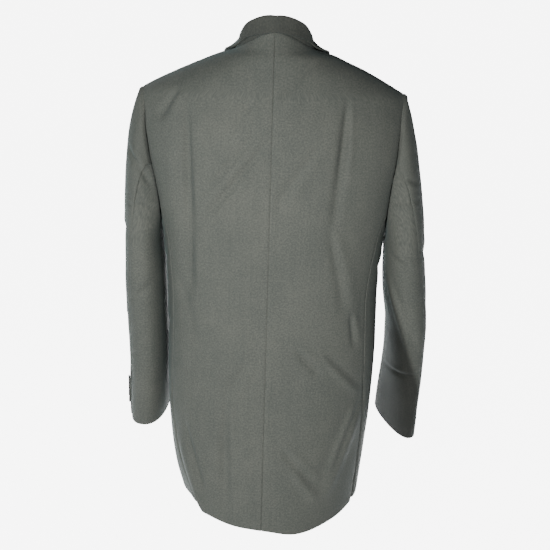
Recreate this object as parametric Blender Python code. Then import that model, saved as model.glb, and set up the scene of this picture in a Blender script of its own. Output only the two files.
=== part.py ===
"""Single-breasted blazer with side vents, standing hollow as it is worn.

Metres, +Z up. The front faces -Y and the wearer's left is +X. The origin is the middle of the neck
base at the height of the back neck seam. Every cloth piece is a slab of cloth one wall thick that
is carried onto a form: the body form is a stack of rounded sections, the sleeve form a stack of
flattened rings that starts at the armhole, and the collar form a folded band round the neck.
"""

import math

import bmesh
import bpy
from mathutils import Matrix, Vector

# Cloth and seams
WALL = 0.002
SEAM_GAP = 0.0003
LAYER_STEP = WALL + 0.0022

# Lengths down the body from the back neck seam
SHOULDER_NECK_Z = -0.030
SHOULDER_TIP_Z = -0.100
ARMPIT_Z = -0.330
BREAK_Z = -0.430
VENT_TOP_Z = -0.634
FRONT_NECK_Z = -0.048
NECK_END = 0.72

# Seam places round the body, in degrees from the centre back, and round the armhole from the shoulder tip
ARMHOLE_BACK = 68.0
ARMHOLE_FRONT = 114.0
ARMHOLE_SQUARE = 2.8
BACK_JOIN = 125.0
FRONT_JOIN = 235.0

# Shares of a panel's rows that end at the top of its seam and at the shoulder tip
SEAM_ROWS = 13 / 28
ARM_ROWS = 22 / 28

# Front closing: the edge past the centre, the cutaway below the buttons and its rounded corner
OVERLAP = 0.015
ROLL_TOP_X = 0.060
CUTAWAY = 0.050
CUTAWAY_DROP = 0.12
CUTAWAY_RUN = 0.30
CORNER_RISE = 0.045
CORNER_SHARE = 0.30

# Where the right front steps in under the left one, across from the front edge and up
INSET_REACH = 0.032
INSET_RUN = 0.016
INSET_TOP_Z = -0.30
INSET_RISE = 0.03

# Back vent: the side panel's underlap, its widths in degrees of the body and its depths
UNDERLAP = 0.038
UNDERLAP_RADIUS = 0.155
UNDERLAP_RISE = 0.030
LAP_START = 5.0
LAP_RUN = 4.4
LAP_TOP = 0.044
LAP_RISE = 0.040
LAP_SINK = 0.0025
LAP_SINK_RUN = 6.0

# Turned-over bands: fold, lift above the cloth below and shares of the band's width
FOLD_RADIUS = 0.003
BAND_INSET = 0.0010
BAND_GAP = 0.0008
LEAF_LIFT = 0.0048
LEAF_END = 6 / 11
FOLD_END = 9 / 11

# Collar and notch
GORGE_Z = -0.075
NOTCH_SHARE = 0.56
NOTCH_STEP = 2 / 6
NOTCH_GAP = SEAM_GAP * 6
COLLAR_CORNER = 0.78
COLLAR_TURN = 0.85
COLLAR_BACK = 0.04
COLLAR_STEP = 0.03
LEAF_BEND = 0.45

# Lapels: tip, width of the stand, how far the outer edge bows out, and where they start
LAPEL_TIP = (0.137, -0.118)
LAPEL_STAND = 0.0045
LAPEL_BELLY = 0.010
LAPEL_FOOT_RISE = 0.004
RIGHT_LAPEL_Z = -0.305
RIGHT_EDGE_SHARE = 0.15

# Steps at which the forms are compared with their surroundings
HEIGHT_STEP = 0.001
ANGLE_STEP = 0.5
LEVEL_STEP = 1e-4
RING_STEP = 0.02
PATH_STEP = 0.004
GRID_STEP = 1e-3
FLOAT_ROUNDS = 3
FIND_ROUNDS = 24

# height, half width left and right, depth of back and front, squareness of the section
SECTIONS = (
    {"z": 0.000, "left": 0.0470, "right": 0.0500, "back": 0.0690, "front": 0.036, "square": 2.0},
    {"z": -0.015, "left": 0.0560, "right": 0.0590, "back": 0.0760, "front": 0.042, "square": 2.0},
    {"z": -0.030, "left": 0.0680, "right": 0.0710, "back": 0.0840, "front": 0.048, "square": 2.0},
    {"z": -0.040, "left": 0.0960, "right": 0.1040, "back": 0.0900, "front": 0.055, "square": 1.95},
    {"z": -0.050, "left": 0.1200, "right": 0.1250, "back": 0.0945, "front": 0.063, "square": 1.9},
    {"z": -0.060, "left": 0.1440, "right": 0.1490, "back": 0.0980, "front": 0.072, "square": 1.9},
    {"z": -0.080, "left": 0.1880, "right": 0.1870, "back": 0.1060, "front": 0.088, "square": 1.84},
    {"z": -0.094, "left": 0.2150, "right": 0.2110, "back": 0.1105, "front": 0.097, "square": 1.80},
    {"z": -0.104, "left": 0.2280, "right": 0.2265, "back": 0.1135, "front": 0.103, "square": 1.82},
    {"z": -0.150, "left": 0.2300, "right": 0.2300, "back": 0.1235, "front": 0.121, "square": 2.10},
    {"z": -0.200, "left": 0.2230, "right": 0.2270, "back": 0.1290, "front": 0.130, "square": 2.3},
    {"z": -0.250, "left": 0.2110, "right": 0.2190, "back": 0.1310, "front": 0.134, "square": 2.35},
    {"z": -0.300, "left": 0.1980, "right": 0.2100, "back": 0.1310, "front": 0.134, "square": 2.4},
    {"z": -0.350, "left": 0.1880, "right": 0.2010, "back": 0.1300, "front": 0.132, "square": 2.4},
    {"z": -0.450, "left": 0.1800, "right": 0.1945, "back": 0.1290, "front": 0.127, "square": 2.4},
    {"z": -0.550, "left": 0.1780, "right": 0.1955, "back": 0.1330, "front": 0.128, "square": 2.4},
    {"z": -0.650, "left": 0.1765, "right": 0.1915, "back": 0.1400, "front": 0.133, "square": 2.35},
    {"z": -0.750, "left": 0.1680, "right": 0.1835, "back": 0.1450, "front": 0.138, "square": 2.2},
    {"z": -0.870, "left": 0.1385, "right": 0.1720, "back": 0.1480, "front": 0.142, "square": 2.0},
)

# Height of the hem round the body, in degrees from the centre back, positive to the wearer's left
HEM = (
    {"angle": -180.0, "z": -0.838},
    {"angle": -110.0, "z": -0.832},
    {"angle": -75.0, "z": -0.834},
    {"angle": -45.0, "z": -0.853},
    {"angle": -20.0, "z": -0.867},
    {"angle": 0.0, "z": -0.858},
    {"angle": 30.0, "z": -0.852},
    {"angle": 50.0, "z": -0.843},
    {"angle": 70.0, "z": -0.824},
    {"angle": 110.0, "z": -0.830},
    {"angle": 180.0, "z": -0.838},
)

# Place of the seam between back and side panel, in degrees from the centre back
SIDE_SEAM = (
    {"z": -0.292, "left": 70.9, "right": 70.9},
    {"z": -0.350, "left": 67.0, "right": 64.0},
    {"z": -0.450, "left": 65.0, "right": 58.0},
    {"z": -0.640, "left": 67.0, "right": 61.0},
    {"z": -0.710, "left": 63.0, "right": 64.0},
    {"z": -0.811, "left": 50.0, "right": 66.0},
    {"z": -0.870, "left": 44.0, "right": 66.0},
)
FRONT_SEAM = 110.8

# Shares of a fold's length over which it swells, and how far past its ends it fades
FOLD_SWELL = 0.35
FOLD_START = 0.15
FOLD_PAST = 0.05
SIDE_FADE = 15.0

# Largest folds of the back: a soft line from top to bottom, across (x) and up (z), its width and its depth
BACK_FOLDS = (
    {"x1": 0.1406, "z1": -0.110, "x2": 0.1384, "z2": -0.480, "width": 0.015, "depth": -0.0065},
    {"x1": -0.1234, "z1": -0.108, "x2": -0.1050, "z2": -0.330, "width": 0.009, "depth": -0.0050},
    {"x1": -0.1680, "z1": -0.640, "x2": -0.1080, "z2": -0.810, "width": 0.010, "depth": 0.0065},
    {"x1": -0.0500, "z1": -0.735, "x2": -0.1000, "z2": -0.815, "width": 0.009, "depth": 0.0045},
    {"x1": 0.1480, "z1": -0.700, "x2": 0.1000, "z2": -0.860, "width": 0.011, "depth": 0.0070},
    {"x1": 0.0720, "z1": -0.650, "x2": 0.0660, "z2": -0.860, "width": 0.016, "depth": -0.0045},
)

# Sleeve rings below the armpit: centre, half depth front to back, half thickness, twist in degrees
LEFT_RINGS = (
    {"x": 0.2225, "y": -0.004, "z": -0.362, "deep": 0.080, "thick": 0.0325, "twist": 0.0},
    {"x": 0.2205, "y": -0.004, "z": -0.440, "deep": 0.076, "thick": 0.0350, "twist": 0.0},
    {"x": 0.2175, "y": -0.010, "z": -0.520, "deep": 0.072, "thick": 0.0350, "twist": 0.0},
    {"x": 0.2155, "y": -0.022, "z": -0.595, "deep": 0.068, "thick": 0.0345, "twist": 3.0},
    {"x": 0.2160, "y": -0.038, "z": -0.660, "deep": 0.065, "thick": 0.0340, "twist": 7.0},
    {"x": 0.2165, "y": -0.050, "z": -0.704, "deep": 0.063, "thick": 0.0320, "twist": 10.0},
)
RIGHT_RINGS = (
    {"x": 0.2370, "y": -0.004, "z": -0.362, "deep": 0.080, "thick": 0.0350, "twist": 0.0},
    {"x": 0.2430, "y": -0.004, "z": -0.440, "deep": 0.076, "thick": 0.0375, "twist": 2.0},
    {"x": 0.2505, "y": -0.009, "z": -0.520, "deep": 0.072, "thick": 0.0325, "twist": 8.0},
    {"x": 0.2500, "y": -0.022, "z": -0.595, "deep": 0.068, "thick": 0.0270, "twist": 15.0},
    {"x": 0.2480, "y": -0.042, "z": -0.670, "deep": 0.064, "thick": 0.0225, "twist": 23.0},
    {"x": 0.2475, "y": -0.060, "z": -0.720, "deep": 0.062, "thick": 0.0220, "twist": 26.0},
)
RING_SQUARE = 2.3
CAP_SHARE = 0.40
ARMHOLE_STEP = 0.0017
CAP_STEP = 0.0024
SLEEVE_CLEAR = 0.0020
CAP_FLARE_LEFT = 0.34
CAP_FLARE_RIGHT = 0.26
FOREARM_SEAM = -118.0
SLEEVE_RADIUS = 0.05

# Start of the sleeve at the armhole: how far it heads out, back and down, and down where the tube begins
CAP_OUT = 0.06
CAP_BACK = 0.40
CAP_DOWN = -0.9
CAP_ARRIVE = -0.8

# Place of the seam at the back of the sleeve, in degrees from its outer side, from armhole to cuff
ELBOW_SEAM = (
    {"v": 0.00, "left": 92.0, "right": 90.0},
    {"v": 0.40, "left": 64.0, "right": 60.0},
    {"v": 0.70, "left": 46.0, "right": 40.0},
    {"v": 1.00, "left": 30.0, "right": 26.0},
)

# Half of the collar, from centre back (t 0) to gorge (t 1): how far its fold lies across, forward and up
# from the neck edge, and the leaf's edge as an angle from the centre back and a height
COLLAR_ROWS = (
    {"t": 0.00, "across": 0.0000, "forward": 0.0005, "up": 0.0262, "edge": 0.0, "edge_z": -0.0020},
    {"t": 0.25, "across": 0.0006, "forward": 0.0010, "up": 0.0318, "edge": 40.0, "edge_z": -0.0095},
    {"t": 0.40, "across": -0.0082, "forward": 0.0010, "up": 0.0245, "edge": 63.2, "edge_z": -0.0190},
    {"t": 0.50, "across": -0.0148, "forward": 0.0020, "up": 0.0165, "edge": 82.0, "edge_z": -0.0320},
    {"t": 0.61, "across": -0.0068, "forward": -0.0005, "up": 0.0130, "edge": 118.0, "edge_z": -0.0400},
    {"t": 0.66, "across": -0.0062, "forward": -0.0015, "up": 0.0130, "edge": 126.5, "edge_z": -0.0460},
    {"t": 0.72, "across": -0.0022, "forward": -0.0030, "up": 0.0130, "edge": 133.5, "edge_z": -0.0535},
    {"t": 0.80, "across": -0.0020, "forward": -0.0020, "up": 0.0075, "edge": 137.2, "edge_z": -0.0625},
    {"t": 1.00, "across": -0.0043, "forward": 0.0013, "up": -0.0002, "edge": 139.5, "edge_z": -0.0775},
)

# Cells across and up of each cloth piece
CELLS = {
    "back": (12, 28),
    "side": (8, 13),
    "front": (10, 28),
    "lapel": (11, 14),
    "sleeve": (10, 18),
    "collar": (36, 11),
}
CREASE_ANGLE = 50.0

# Buttons: heights on the front, sizes, heights above the cuff edge and degrees from the elbow seam
BUTTON_HEIGHTS = (-0.455, -0.565)
BUTTON_SIZE = {"radius": 0.0100, "height": 0.0034, "rim": 0.0018}
CUFF_BUTTON_SIZE = {"radius": 0.0072, "height": 0.0030, "rim": 0.0014}
BUTTON_TAPER = 0.0008
BUTTON_BEVEL = 0.0006
BUTTON_WELL = 0.0007
BUTTON_LIFT = 0.0006
BUTTON_TOP_NORMAL = 0.9
CUFF_BUTTON_RISES = (0.028, 0.0435, 0.059, 0.0745)
BUTTON_SIDES = 16
CUFF_BUTTON_TURN = 13.0
CUFF_BUTTON_SPAN = 2.0
CUFF_BUTTON_STEP = 0.01

# Finishes: colour and roughness
CLOTH_FINISH = {"colour": (0.085, 0.090, 0.078), "roughness": 0.9}
BUTTON_FINISH = {"colour": (0.020, 0.024, 0.022), "roughness": 0.4}


def ease(x):
    """Smooth step from 0 to 1 as x goes from 0 to 1."""
    x = min(max(x, 0.0), 1.0)
    return x * x * (3.0 - 2.0 * x)


def mix(a, b, share):
    """Straight blend from a to b."""
    return a + (b - a) * share


def slopes(knots, values):
    """Slopes at the knots of a curve that never overshoots its rows."""
    steps = [(values[i + 1] - values[i]) / (knots[i + 1] - knots[i]) for i in range(len(knots) - 1)]
    found = [steps[0]]
    for before, after in zip(steps, steps[1:]):
        found.append(0.0 if before * after <= 0 else 2.0 * before * after / (before + after))
    found.append(steps[-1])
    return found


def curve_through(rows, key, column):
    """A smooth function of the rows' key column that passes through their values of another column."""
    ordered = sorted(rows, key=lambda row: row[key])
    knots = [row[key] for row in ordered]
    values = [row[column] for row in ordered]
    tangents = slopes(knots, values)

    def value(at):
        at = min(max(at, knots[0]), knots[-1])
        i = max(0, min(len(knots) - 2, sum(knot <= at for knot in knots) - 1))
        wide = knots[i + 1] - knots[i]
        s = (at - knots[i]) / wide
        return (
            values[i] * (1 + 2 * s) * (1 - s) ** 2
            + values[i + 1] * s * s * (3 - 2 * s)
            + tangents[i] * wide * s * (1 - s) ** 2
            - tangents[i + 1] * wide * s * s * (1 - s)
        )

    return value


SECTION = {name: curve_through(SECTIONS, "z", name) for name in ("left", "right", "back", "front", "square")}
ELBOW = {name: curve_through(ELBOW_SEAM, "v", name) for name in ("left", "right")}
HEM_Z = curve_through(HEM, "angle", "z")
SEAM = {name: curve_through(SIDE_SEAM, "z", name) for name in ("left", "right")}


def signed_power(x, power):
    """x raised to a power with its sign kept."""
    return math.copysign(abs(x) ** power, x)


def bare_point(angle, z):
    """Point of the body form without folds, at an angle from the centre back, positive to the wearer's left."""
    side = "left" if angle >= 0 else "right"
    turn = math.radians(angle)
    power = 2.0 / SECTION["square"](z)
    deep = SECTION["back"](z) if math.cos(turn) >= 0 else SECTION["front"](z)
    return Vector((
        SECTION[side](z) * signed_power(math.sin(turn), power),
        deep * signed_power(math.cos(turn), power),
        z,
    ))


def angle_at(x, z, front=False):
    """Angle of the body form at a place across, on the back or on the front."""
    side = "left" if x >= 0 else "right"
    share = min(abs(x) / SECTION[side](z), 1.0) ** (SECTION["square"](z) / 2.0)
    angle = math.degrees(math.asin(share))
    return math.copysign(180.0 - angle if front else angle, x)


def fold_depth(x, z, folds):
    """Height of the folds above the form at a place across and up."""
    total = 0.0
    for fold in folds:
        run = Vector((fold["x2"] - fold["x1"], fold["z2"] - fold["z1"]))
        from_top = Vector((x - fold["x1"], z - fold["z1"]))
        along = from_top.dot(run) / run.length_squared
        aside = abs(from_top.x * run.y - from_top.y * run.x) / run.length
        inside = -FOLD_PAST < along < 1.0 + FOLD_PAST
        swell = ease(min(along, 1.0 - along) / FOLD_SWELL + FOLD_START) if inside else 0.0
        total += fold["depth"] * swell * math.exp(-((aside / fold["width"]) ** 2))
    return total


def body_point(angle, z, lift=0.0):
    """Point of the outer face of the body cloth, raised by lift."""
    point = bare_point(angle, z)
    up = bare_point(angle, z + HEIGHT_STEP) - bare_point(angle, z - HEIGHT_STEP)
    round_it = bare_point(angle + ANGLE_STEP, z) - bare_point(angle - ANGLE_STEP, z)
    outward = up.cross(round_it).normalized()
    if abs(angle) < 90.0:
        lift += fold_depth(point.x, z, BACK_FOLDS) * ease((90.0 - abs(angle)) / SIDE_FADE)
    return point + outward * lift


def armhole_place(turn):
    """Angle and height of the armhole seam: turn 0 is the shoulder tip, 90 the back and 180 the armpit."""
    middle = (SHOULDER_TIP_Z + ARMPIT_Z) / 2
    power = 2.0 / ARMHOLE_SQUARE
    z = middle + (SHOULDER_TIP_Z - middle) * signed_power(math.cos(math.radians(turn)), power)
    aside = signed_power(math.sin(math.radians(turn)), power)
    reach = 90.0 - ARMHOLE_BACK if aside >= 0 else ARMHOLE_FRONT - 90.0
    return 90.0 - reach * aside, z


def hem_height(angle):
    """Height of the hem at an angle from the centre back, positive to the wearer's left."""
    return HEM_Z(max(-180.0, min(180.0, angle)))


def gap_angle(z, width=SEAM_GAP / 2):
    """Degrees round the body that are about as wide as half a seam gap."""
    return math.degrees(width / ((SECTION["left"](z) + SECTION["back"](z)) / 2))


def edge_place(v, side, rear):
    """Outer edge of a back (rear) or front panel at a share of its rows: seam, armhole, shoulder seam."""
    join = BACK_JOIN if rear else FRONT_JOIN
    tip = 0.0 if rear else 360.0
    top_of_seam = armhole_place(join)[1]
    if v <= SEAM_ROWS:
        share = v / SEAM_ROWS
        z = mix(hem_height(side * (hem_seam_angle(side) if rear else FRONT_SEAM)), top_of_seam, share)
        return seam_angle(z, side) if rear else FRONT_SEAM, z
    if v <= ARM_ROWS:
        share = (v - SEAM_ROWS) / (ARM_ROWS - SEAM_ROWS)
        return armhole_place(mix(join, tip, share))
    return 90.0, mix(SHOULDER_TIP_Z, SHOULDER_NECK_Z, (v - ARM_ROWS) / (1.0 - ARM_ROWS))


def seam_angle(z, side):
    """Angle of the seam between back and side panel at a height."""
    return SEAM["left" if side > 0 else "right"](z)


def hem_seam_angle(side):
    """Angle at which the seam between back and side panel meets the hem."""
    return seam_angle(HEM[0]["z"], side)


def row_height(v, edge_z, low, high):
    """Height in a row whose outer edge is at edge_z, with the hem at low and the top edge at high."""
    if v <= SEAM_ROWS:
        top = armhole_place(BACK_JOIN)[1]
        return mix(low, top, v / SEAM_ROWS)
    if v >= ARM_ROWS:
        return mix(SHOULDER_TIP_Z, high, (v - ARM_ROWS) / (1.0 - ARM_ROWS))
    return edge_z


def back_form(side):
    """Half of the back, from the centre seam to the side, up from the hem to the neck."""

    def form(u, v):
        edge, edge_z = edge_place(v, side, True)
        low = hem_height(side * u * hem_seam_angle(side))
        high = SHOULDER_NECK_Z * math.sin(math.radians(90.0 * u)) ** 2 - SEAM_GAP / 2
        z = row_height(v, edge_z, low, high)
        if v <= SEAM_ROWS:
            edge = seam_angle(z, side)
        return body_point(side * mix(gap_angle(z), edge - gap_angle(z), u), z)

    return form


def front_edge_x(z):
    """Place across of the front edge, or of the roll line above the break, positive on its own side."""
    if z >= BREAK_Z:
        return mix(-OVERLAP, ROLL_TOP_X, (z - BREAK_Z) / (SHOULDER_NECK_Z - BREAK_Z))
    return -OVERLAP + CUTAWAY * ease((BREAK_Z - CUTAWAY_DROP - z) / CUTAWAY_RUN)


def front_inset(x, z):
    """How far the right front lies under the left one near the closing."""
    near_edge = ease((x + OVERLAP + INSET_REACH) / INSET_RUN)
    return LAYER_STEP * near_edge * ease((INSET_TOP_Z - z) / INSET_RISE)


def front_edge_angle(z, side):
    """Angle of the front edge, which may lie past the centre front."""
    x = front_edge_x(z)
    wide = SECTION["left" if side * x > 0 else "right"](z)
    past = math.degrees(math.asin(min(abs(x) / wide, 1.0) ** (SECTION["square"](z) / 2.0)))
    return 180.0 - past if x >= 0 else 180.0 + past


def turned(angle):
    """The same direction with its angle between -180 and 180 degrees."""
    return (angle + 180.0) % 360.0 - 180.0


def front_place(angle, z, side, lift=0.0):
    """Point of the outer face of a front, the right one stepped in under the left one."""
    whole = turned(side * angle)
    inset = front_inset(bare_point(whole, z).x, z) if side < 0 else 0.0
    return body_point(whole, z, lift - inset)


def front_form(side):
    """One front, from the front seam to the front edge, up from the hem to the shoulder seam."""

    def height(u, v):
        corner = max(0.0, (u - (1.0 - CORNER_SHARE)) / CORNER_SHARE)
        low = hem_height(side * mix(FRONT_SEAM, 180.0, u))
        low += CORNER_RISE * (1.0 - math.sqrt(1.0 - min(corner, 1.0) ** 2))
        return row_height(v, edge_place(v, side, False)[1], low, mix(SHOULDER_NECK_Z, FRONT_NECK_Z, u ** 3))

    def form(u, v):
        z = height(u, v)
        edge = edge_place(v, side, False)[0] + gap_angle(z)
        return front_place(mix(edge, front_edge_angle(height(1.0, v), side), u), z, side)

    return form


def side_form(side):
    """The side panel, with its underlap behind the back vent, up from the hem to the armhole."""
    rear_top, front_top = armhole_place(BACK_JOIN)[0], armhole_place(FRONT_JOIN)[0]

    def form(u, v):
        top_angle, top = armhole_place(mix(BACK_JOIN, FRONT_JOIN, u))
        share = (top_angle - rear_top) / (front_top - rear_top)
        z = mix(hem_height(side * mix(hem_seam_angle(side), FRONT_SEAM, share)), top - SEAM_GAP * v, v)
        rear = seam_angle(z, side) if z < armhole_place(BACK_JOIN)[1] else rear_top
        lap = math.degrees(UNDERLAP / UNDERLAP_RADIUS) * ease((VENT_TOP_Z - z) / UNDERLAP_RISE)
        angle = mix(rear + gap_angle(z) - lap, FRONT_SEAM - gap_angle(z), share)
        under = LAYER_STEP * ease((rear + LAP_START - angle) / LAP_RUN)
        under *= ease((VENT_TOP_Z + LAP_TOP - z) / LAP_RISE)
        if abs(angle) < 90.0:
            under += LAP_SINK * ease((rear - angle) / LAP_SINK_RUN)
        return body_point(side * angle, z, -under)

    return form


def ring_at(rows, share):
    """Centre, half sizes and twist of the sleeve at a share of its length below the cap."""
    spaced = [dict(row, s=i / (len(rows) - 1)) for i, row in enumerate(rows)]
    return {name: curve_through(spaced, "s", name)(share) for name in rows[0]}


def ring_point(rows, turn, share, side):
    """Point of the sleeve tube: turn 0 is the outer side, 90 the back, 180 the inner side, 270 the front."""
    here = ring_at(rows, share)
    near = ring_at(rows, min(share + RING_STEP, 1.0))
    far = ring_at(rows, max(share - RING_STEP, 0.0))
    lean = (near["y"] - far["y"]) / (near["z"] - far["z"])
    power = 2.0 / RING_SQUARE
    out = here["thick"] * signed_power(math.cos(math.radians(turn)), power)
    back = here["deep"] * signed_power(math.sin(math.radians(turn)), power)
    twist = math.radians(here["twist"])
    x = out * math.cos(twist) + back * math.sin(twist)
    y = back * math.cos(twist) - out * math.sin(twist)
    slant = math.atan(lean)
    return Vector((
        side * (here["x"] + x),
        here["y"] + y * math.cos(slant),
        here["z"] - y * math.sin(slant),
    ))


def sleeve_point(rows, turn, v, side):
    """Point of the outer face of a sleeve: v 0 is the armhole seam and v 1 the cuff."""
    if v >= CAP_SHARE:
        return floated(ring_point(rows, turn, (v - CAP_SHARE) / (1.0 - CAP_SHARE), side), SLEEVE_CLEAR)
    angle, z = armhole_place(turn)
    top = (1.0 + math.cos(math.radians(turn))) / 2
    start = body_point(side * angle, z, ARMHOLE_STEP + CAP_STEP * top)
    end = ring_point(rows, turn, 0.0, side)
    chord = (end - start).length
    back = math.sin(math.radians(turn))
    outward = CAP_OUT + (CAP_FLARE_LEFT if side > 0 else CAP_FLARE_RIGHT) * top
    leave = Vector((side * outward, CAP_BACK * back, CAP_DOWN)) * chord
    arrive = Vector((0.0, 0.0, CAP_ARRIVE)) * chord
    s = v / CAP_SHARE
    point = (
        start * ((1 + 2 * s) * (1 - s) ** 2)
        + leave * (s * (1 - s) ** 2)
        + end * (s * s * (3 - 2 * s))
        - arrive * (s * s * (1 - s))
    )
    return floated(point, mix(ARMHOLE_STEP, SLEEVE_CLEAR, ease(2.0 * s)))


def elbow_turn(v, side):
    """Place of the elbow seam round the sleeve, at a share of its length from the armhole."""
    return ELBOW["left" if side > 0 else "right"](v)


def sleeve_form(side, outer):
    """The top (outer) or under piece of the two-piece sleeve, up from the cuff to the armhole."""
    rows = LEFT_RINGS if side > 0 else RIGHT_RINGS
    half_gap = math.degrees(SEAM_GAP / 2 / SLEEVE_RADIUS)

    def form(u, v):
        elbow = elbow_turn(1.0 - v, side)
        first, last = (FOREARM_SEAM, elbow) if outer else (elbow, FOREARM_SEAM + 360.0)
        return sleeve_point(rows, mix(first + half_gap, last - half_gap, u), 1.0 - v, side)

    return form


def outside_by(point):
    """Distance of a point outside the body form and the direction straight out."""
    def level(at):
        power = SECTION["square"](at.z)
        wide = SECTION["left" if at.x >= 0 else "right"](at.z)
        deep = SECTION["back" if at.y >= 0 else "front"](at.z)
        return ((abs(at.x) / wide) ** power + (abs(at.y) / deep) ** power) ** (1.0 / power)

    here = level(point)
    ways = [Vector((LEVEL_STEP, 0, 0)), Vector((0, LEVEL_STEP, 0)), Vector((0, 0, LEVEL_STEP))]
    uphill = Vector([(level(point + way) - level(point - way)) / (2 * LEVEL_STEP) for way in ways])
    return (here - 1.0) / uphill.length, uphill.normalized()


def floated(point, lift):
    """The point moved out, where needed, until it is lift above the body form."""
    for _ in range(FLOAT_ROUNDS):
        above, outward = outside_by(point)
        if above < lift:
            point = point + outward * (lift - above)
    return point


def neck_place(t, side):
    """Point of the neck and front edge from the centre back (t 0) down to the gorge (t 1)."""
    if t <= 0.5:
        angle = 180.0 * t
        z = SHOULDER_NECK_Z * math.sin(math.radians(angle)) ** 2
        return body_point(side * angle, z)
    if t <= NECK_END:
        share = (t - 0.5) / (NECK_END - 0.5)
        z = mix(SHOULDER_NECK_Z, FRONT_NECK_Z, share ** 3)
        return front_place(mix(90.0, front_edge_angle(FRONT_NECK_Z, side), share), z, side)
    z = mix(FRONT_NECK_Z, GORGE_Z, (t - NECK_END) / (1.0 - NECK_END))
    return front_place(front_edge_angle(z, side), z, side)


def edge_frame(place, at, side):
    """Point of an edge path with its outward and its rising direction across the edge."""
    here = place(at, side)
    ahead = place(at + PATH_STEP, side) - place(at - PATH_STEP, side)
    outward = outside_by(here)[1]
    rise = outward.cross(ahead).normalized() * side
    return here, outward, rise


def turned_section(edge, outward, rise, stand, leaf, w):
    """Visible face of a turned-over band: leaf edge (w 0), over the fold, down to the seam (w 1)."""
    inner = BAND_INSET - WALL
    foot = edge + rise * BAND_GAP + outward * inner
    middle = edge + rise * (stand - FOLD_RADIUS) + outward * (inner + FOLD_RADIUS)
    outer = middle + outward * FOLD_RADIUS
    above, straight_out = outside_by(outer)
    if above < LEAF_LIFT:
        middle += straight_out * (LEAF_LIFT - above)
        outer += straight_out * (LEAF_LIFT - above)
    if w <= LEAF_END:
        return leaf(outer, -rise, w / LEAF_END)
    if w <= FOLD_END:
        turn = math.pi * (w - LEAF_END) / (FOLD_END - LEAF_END)
        return middle + (outward * math.cos(turn) + rise * math.sin(turn)) * FOLD_RADIUS
    return (middle - outward * FOLD_RADIUS).lerp(foot, (w - FOLD_END) / (1.0 - FOLD_END))


def bend(start, control, end, s):
    """Point of a curve from start to end that is drawn towards control."""
    return start * (1 - s) ** 2 + control * (2 * s * (1 - s)) + end * s * s


def front_spot(x, z, side, lift):
    """Point above a front at a place across, positive on its own side, and up."""
    angle = angle_at(side * x, z, front=True)
    return body_point(angle, z, lift)


def collar_form():
    """The collar, from its left front end round the neck to its right one, leaf edge to seam."""
    columns = {name: curve_through(COLLAR_ROWS, "t", name) for name in COLLAR_ROWS[0] if name != "t"}

    def fold_place(t, side):
        edge = neck_place(t, side)
        return edge + Vector((side * columns["across"](t), -columns["forward"](t), columns["up"](t)))

    def form(u, v):
        side = 1 if u < 0.5 else -1
        t = min(abs(1.0 - 2.0 * u), 1.0)
        corner_share = ease((t - COLLAR_CORNER) / (1.0 - COLLAR_CORNER))
        edge = neck_place(t, side)
        fold = fold_place(t, side)
        ahead = Vector((side, 0, 0))
        if t > COLLAR_BACK:
            ahead = fold_place(min(t + COLLAR_STEP, 1.0), side) - fold_place(t - COLLAR_STEP, side)
        stand = (fold - edge).length
        rise = (fold - edge).normalized()
        if t > COLLAR_TURN:
            gorge_rise = edge_frame(roll_place, 1.0, side)[2]
            rise = rise.lerp(gorge_rise, ease((t - COLLAR_TURN) / (1.0 - COLLAR_TURN))).normalized()
        outward = rise.cross(ahead).normalized() * side
        tip = body_point(side * columns["edge"](t), columns["edge_z"](t), LEAF_LIFT)
        notch_x = mix(front_edge_x(GORGE_Z), LAPEL_TIP[0], NOTCH_SHARE)
        notch_z = mix(GORGE_Z, LAPEL_TIP[1], NOTCH_SHARE) + NOTCH_GAP
        notch = front_spot(notch_x, notch_z, side, LEAF_LIFT)

        def leaf(outer, down, s):
            free = bend(tip, outer + down * (tip - outer).length * LEAF_BEND, outer, s)
            if s < NOTCH_STEP:
                cornered = tip.lerp(notch, s / NOTCH_STEP)
            else:
                cornered = notch.lerp(outer, (s - NOTCH_STEP) / (1.0 - NOTCH_STEP))
            return floated(free.lerp(cornered, corner_share), LEAF_LIFT)

        return turned_section(edge, outward, rise, stand, leaf, v)

    return form


def roll_place(v, side):
    """Point of the front edge along the roll line from the bottom of the lapel (v 0) to the gorge (v 1)."""
    z = mix(lapel_foot(side), GORGE_Z - 2 * SEAM_GAP, v)
    return front_place(front_edge_angle(z, side), z, side)


def lapel_foot(side):
    """Height on the roll line where the lapel starts: the right one starts above the overlap."""
    return BREAK_Z + LAPEL_FOOT_RISE if side > 0 else RIGHT_LAPEL_Z


def lapel_form(side):
    """One lapel, from its outer edge over the fold to the roll line, up from the break to the gorge."""

    def form(u, v):
        edge, outward, rise = edge_frame(roll_place, v, side)
        share = v if side > 0 else mix(RIGHT_EDGE_SHARE, 1.0, v)
        x = mix(LAPEL_FOOT_RISE - OVERLAP, LAPEL_TIP[0], share) + LAPEL_BELLY * math.sin(math.pi * share)
        tip = front_spot(x, mix(BREAK_Z + LAPEL_FOOT_RISE, LAPEL_TIP[1], share), side, LEAF_LIFT)

        def leaf(outer, down, s):
            return floated(tip.lerp(outer, s), LEAF_LIFT)

        return turned_section(edge, outward, rise, LAPEL_STAND, leaf, u)

    return form


def add_piece(name, mesh, finish):
    """Puts a mesh into the scene as a named object with its own material."""
    piece = bpy.data.objects.new(name, mesh)
    bpy.context.scene.collection.objects.link(piece)
    material = bpy.data.materials.new(name)
    material.use_nodes = True
    surface = material.node_tree.nodes["Principled BSDF"]
    surface.inputs["Base Color"].default_value = (*finish["colour"], 1.0)
    surface.inputs["Roughness"].default_value = finish["roughness"]
    mesh.materials.append(material)
    return piece


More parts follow.
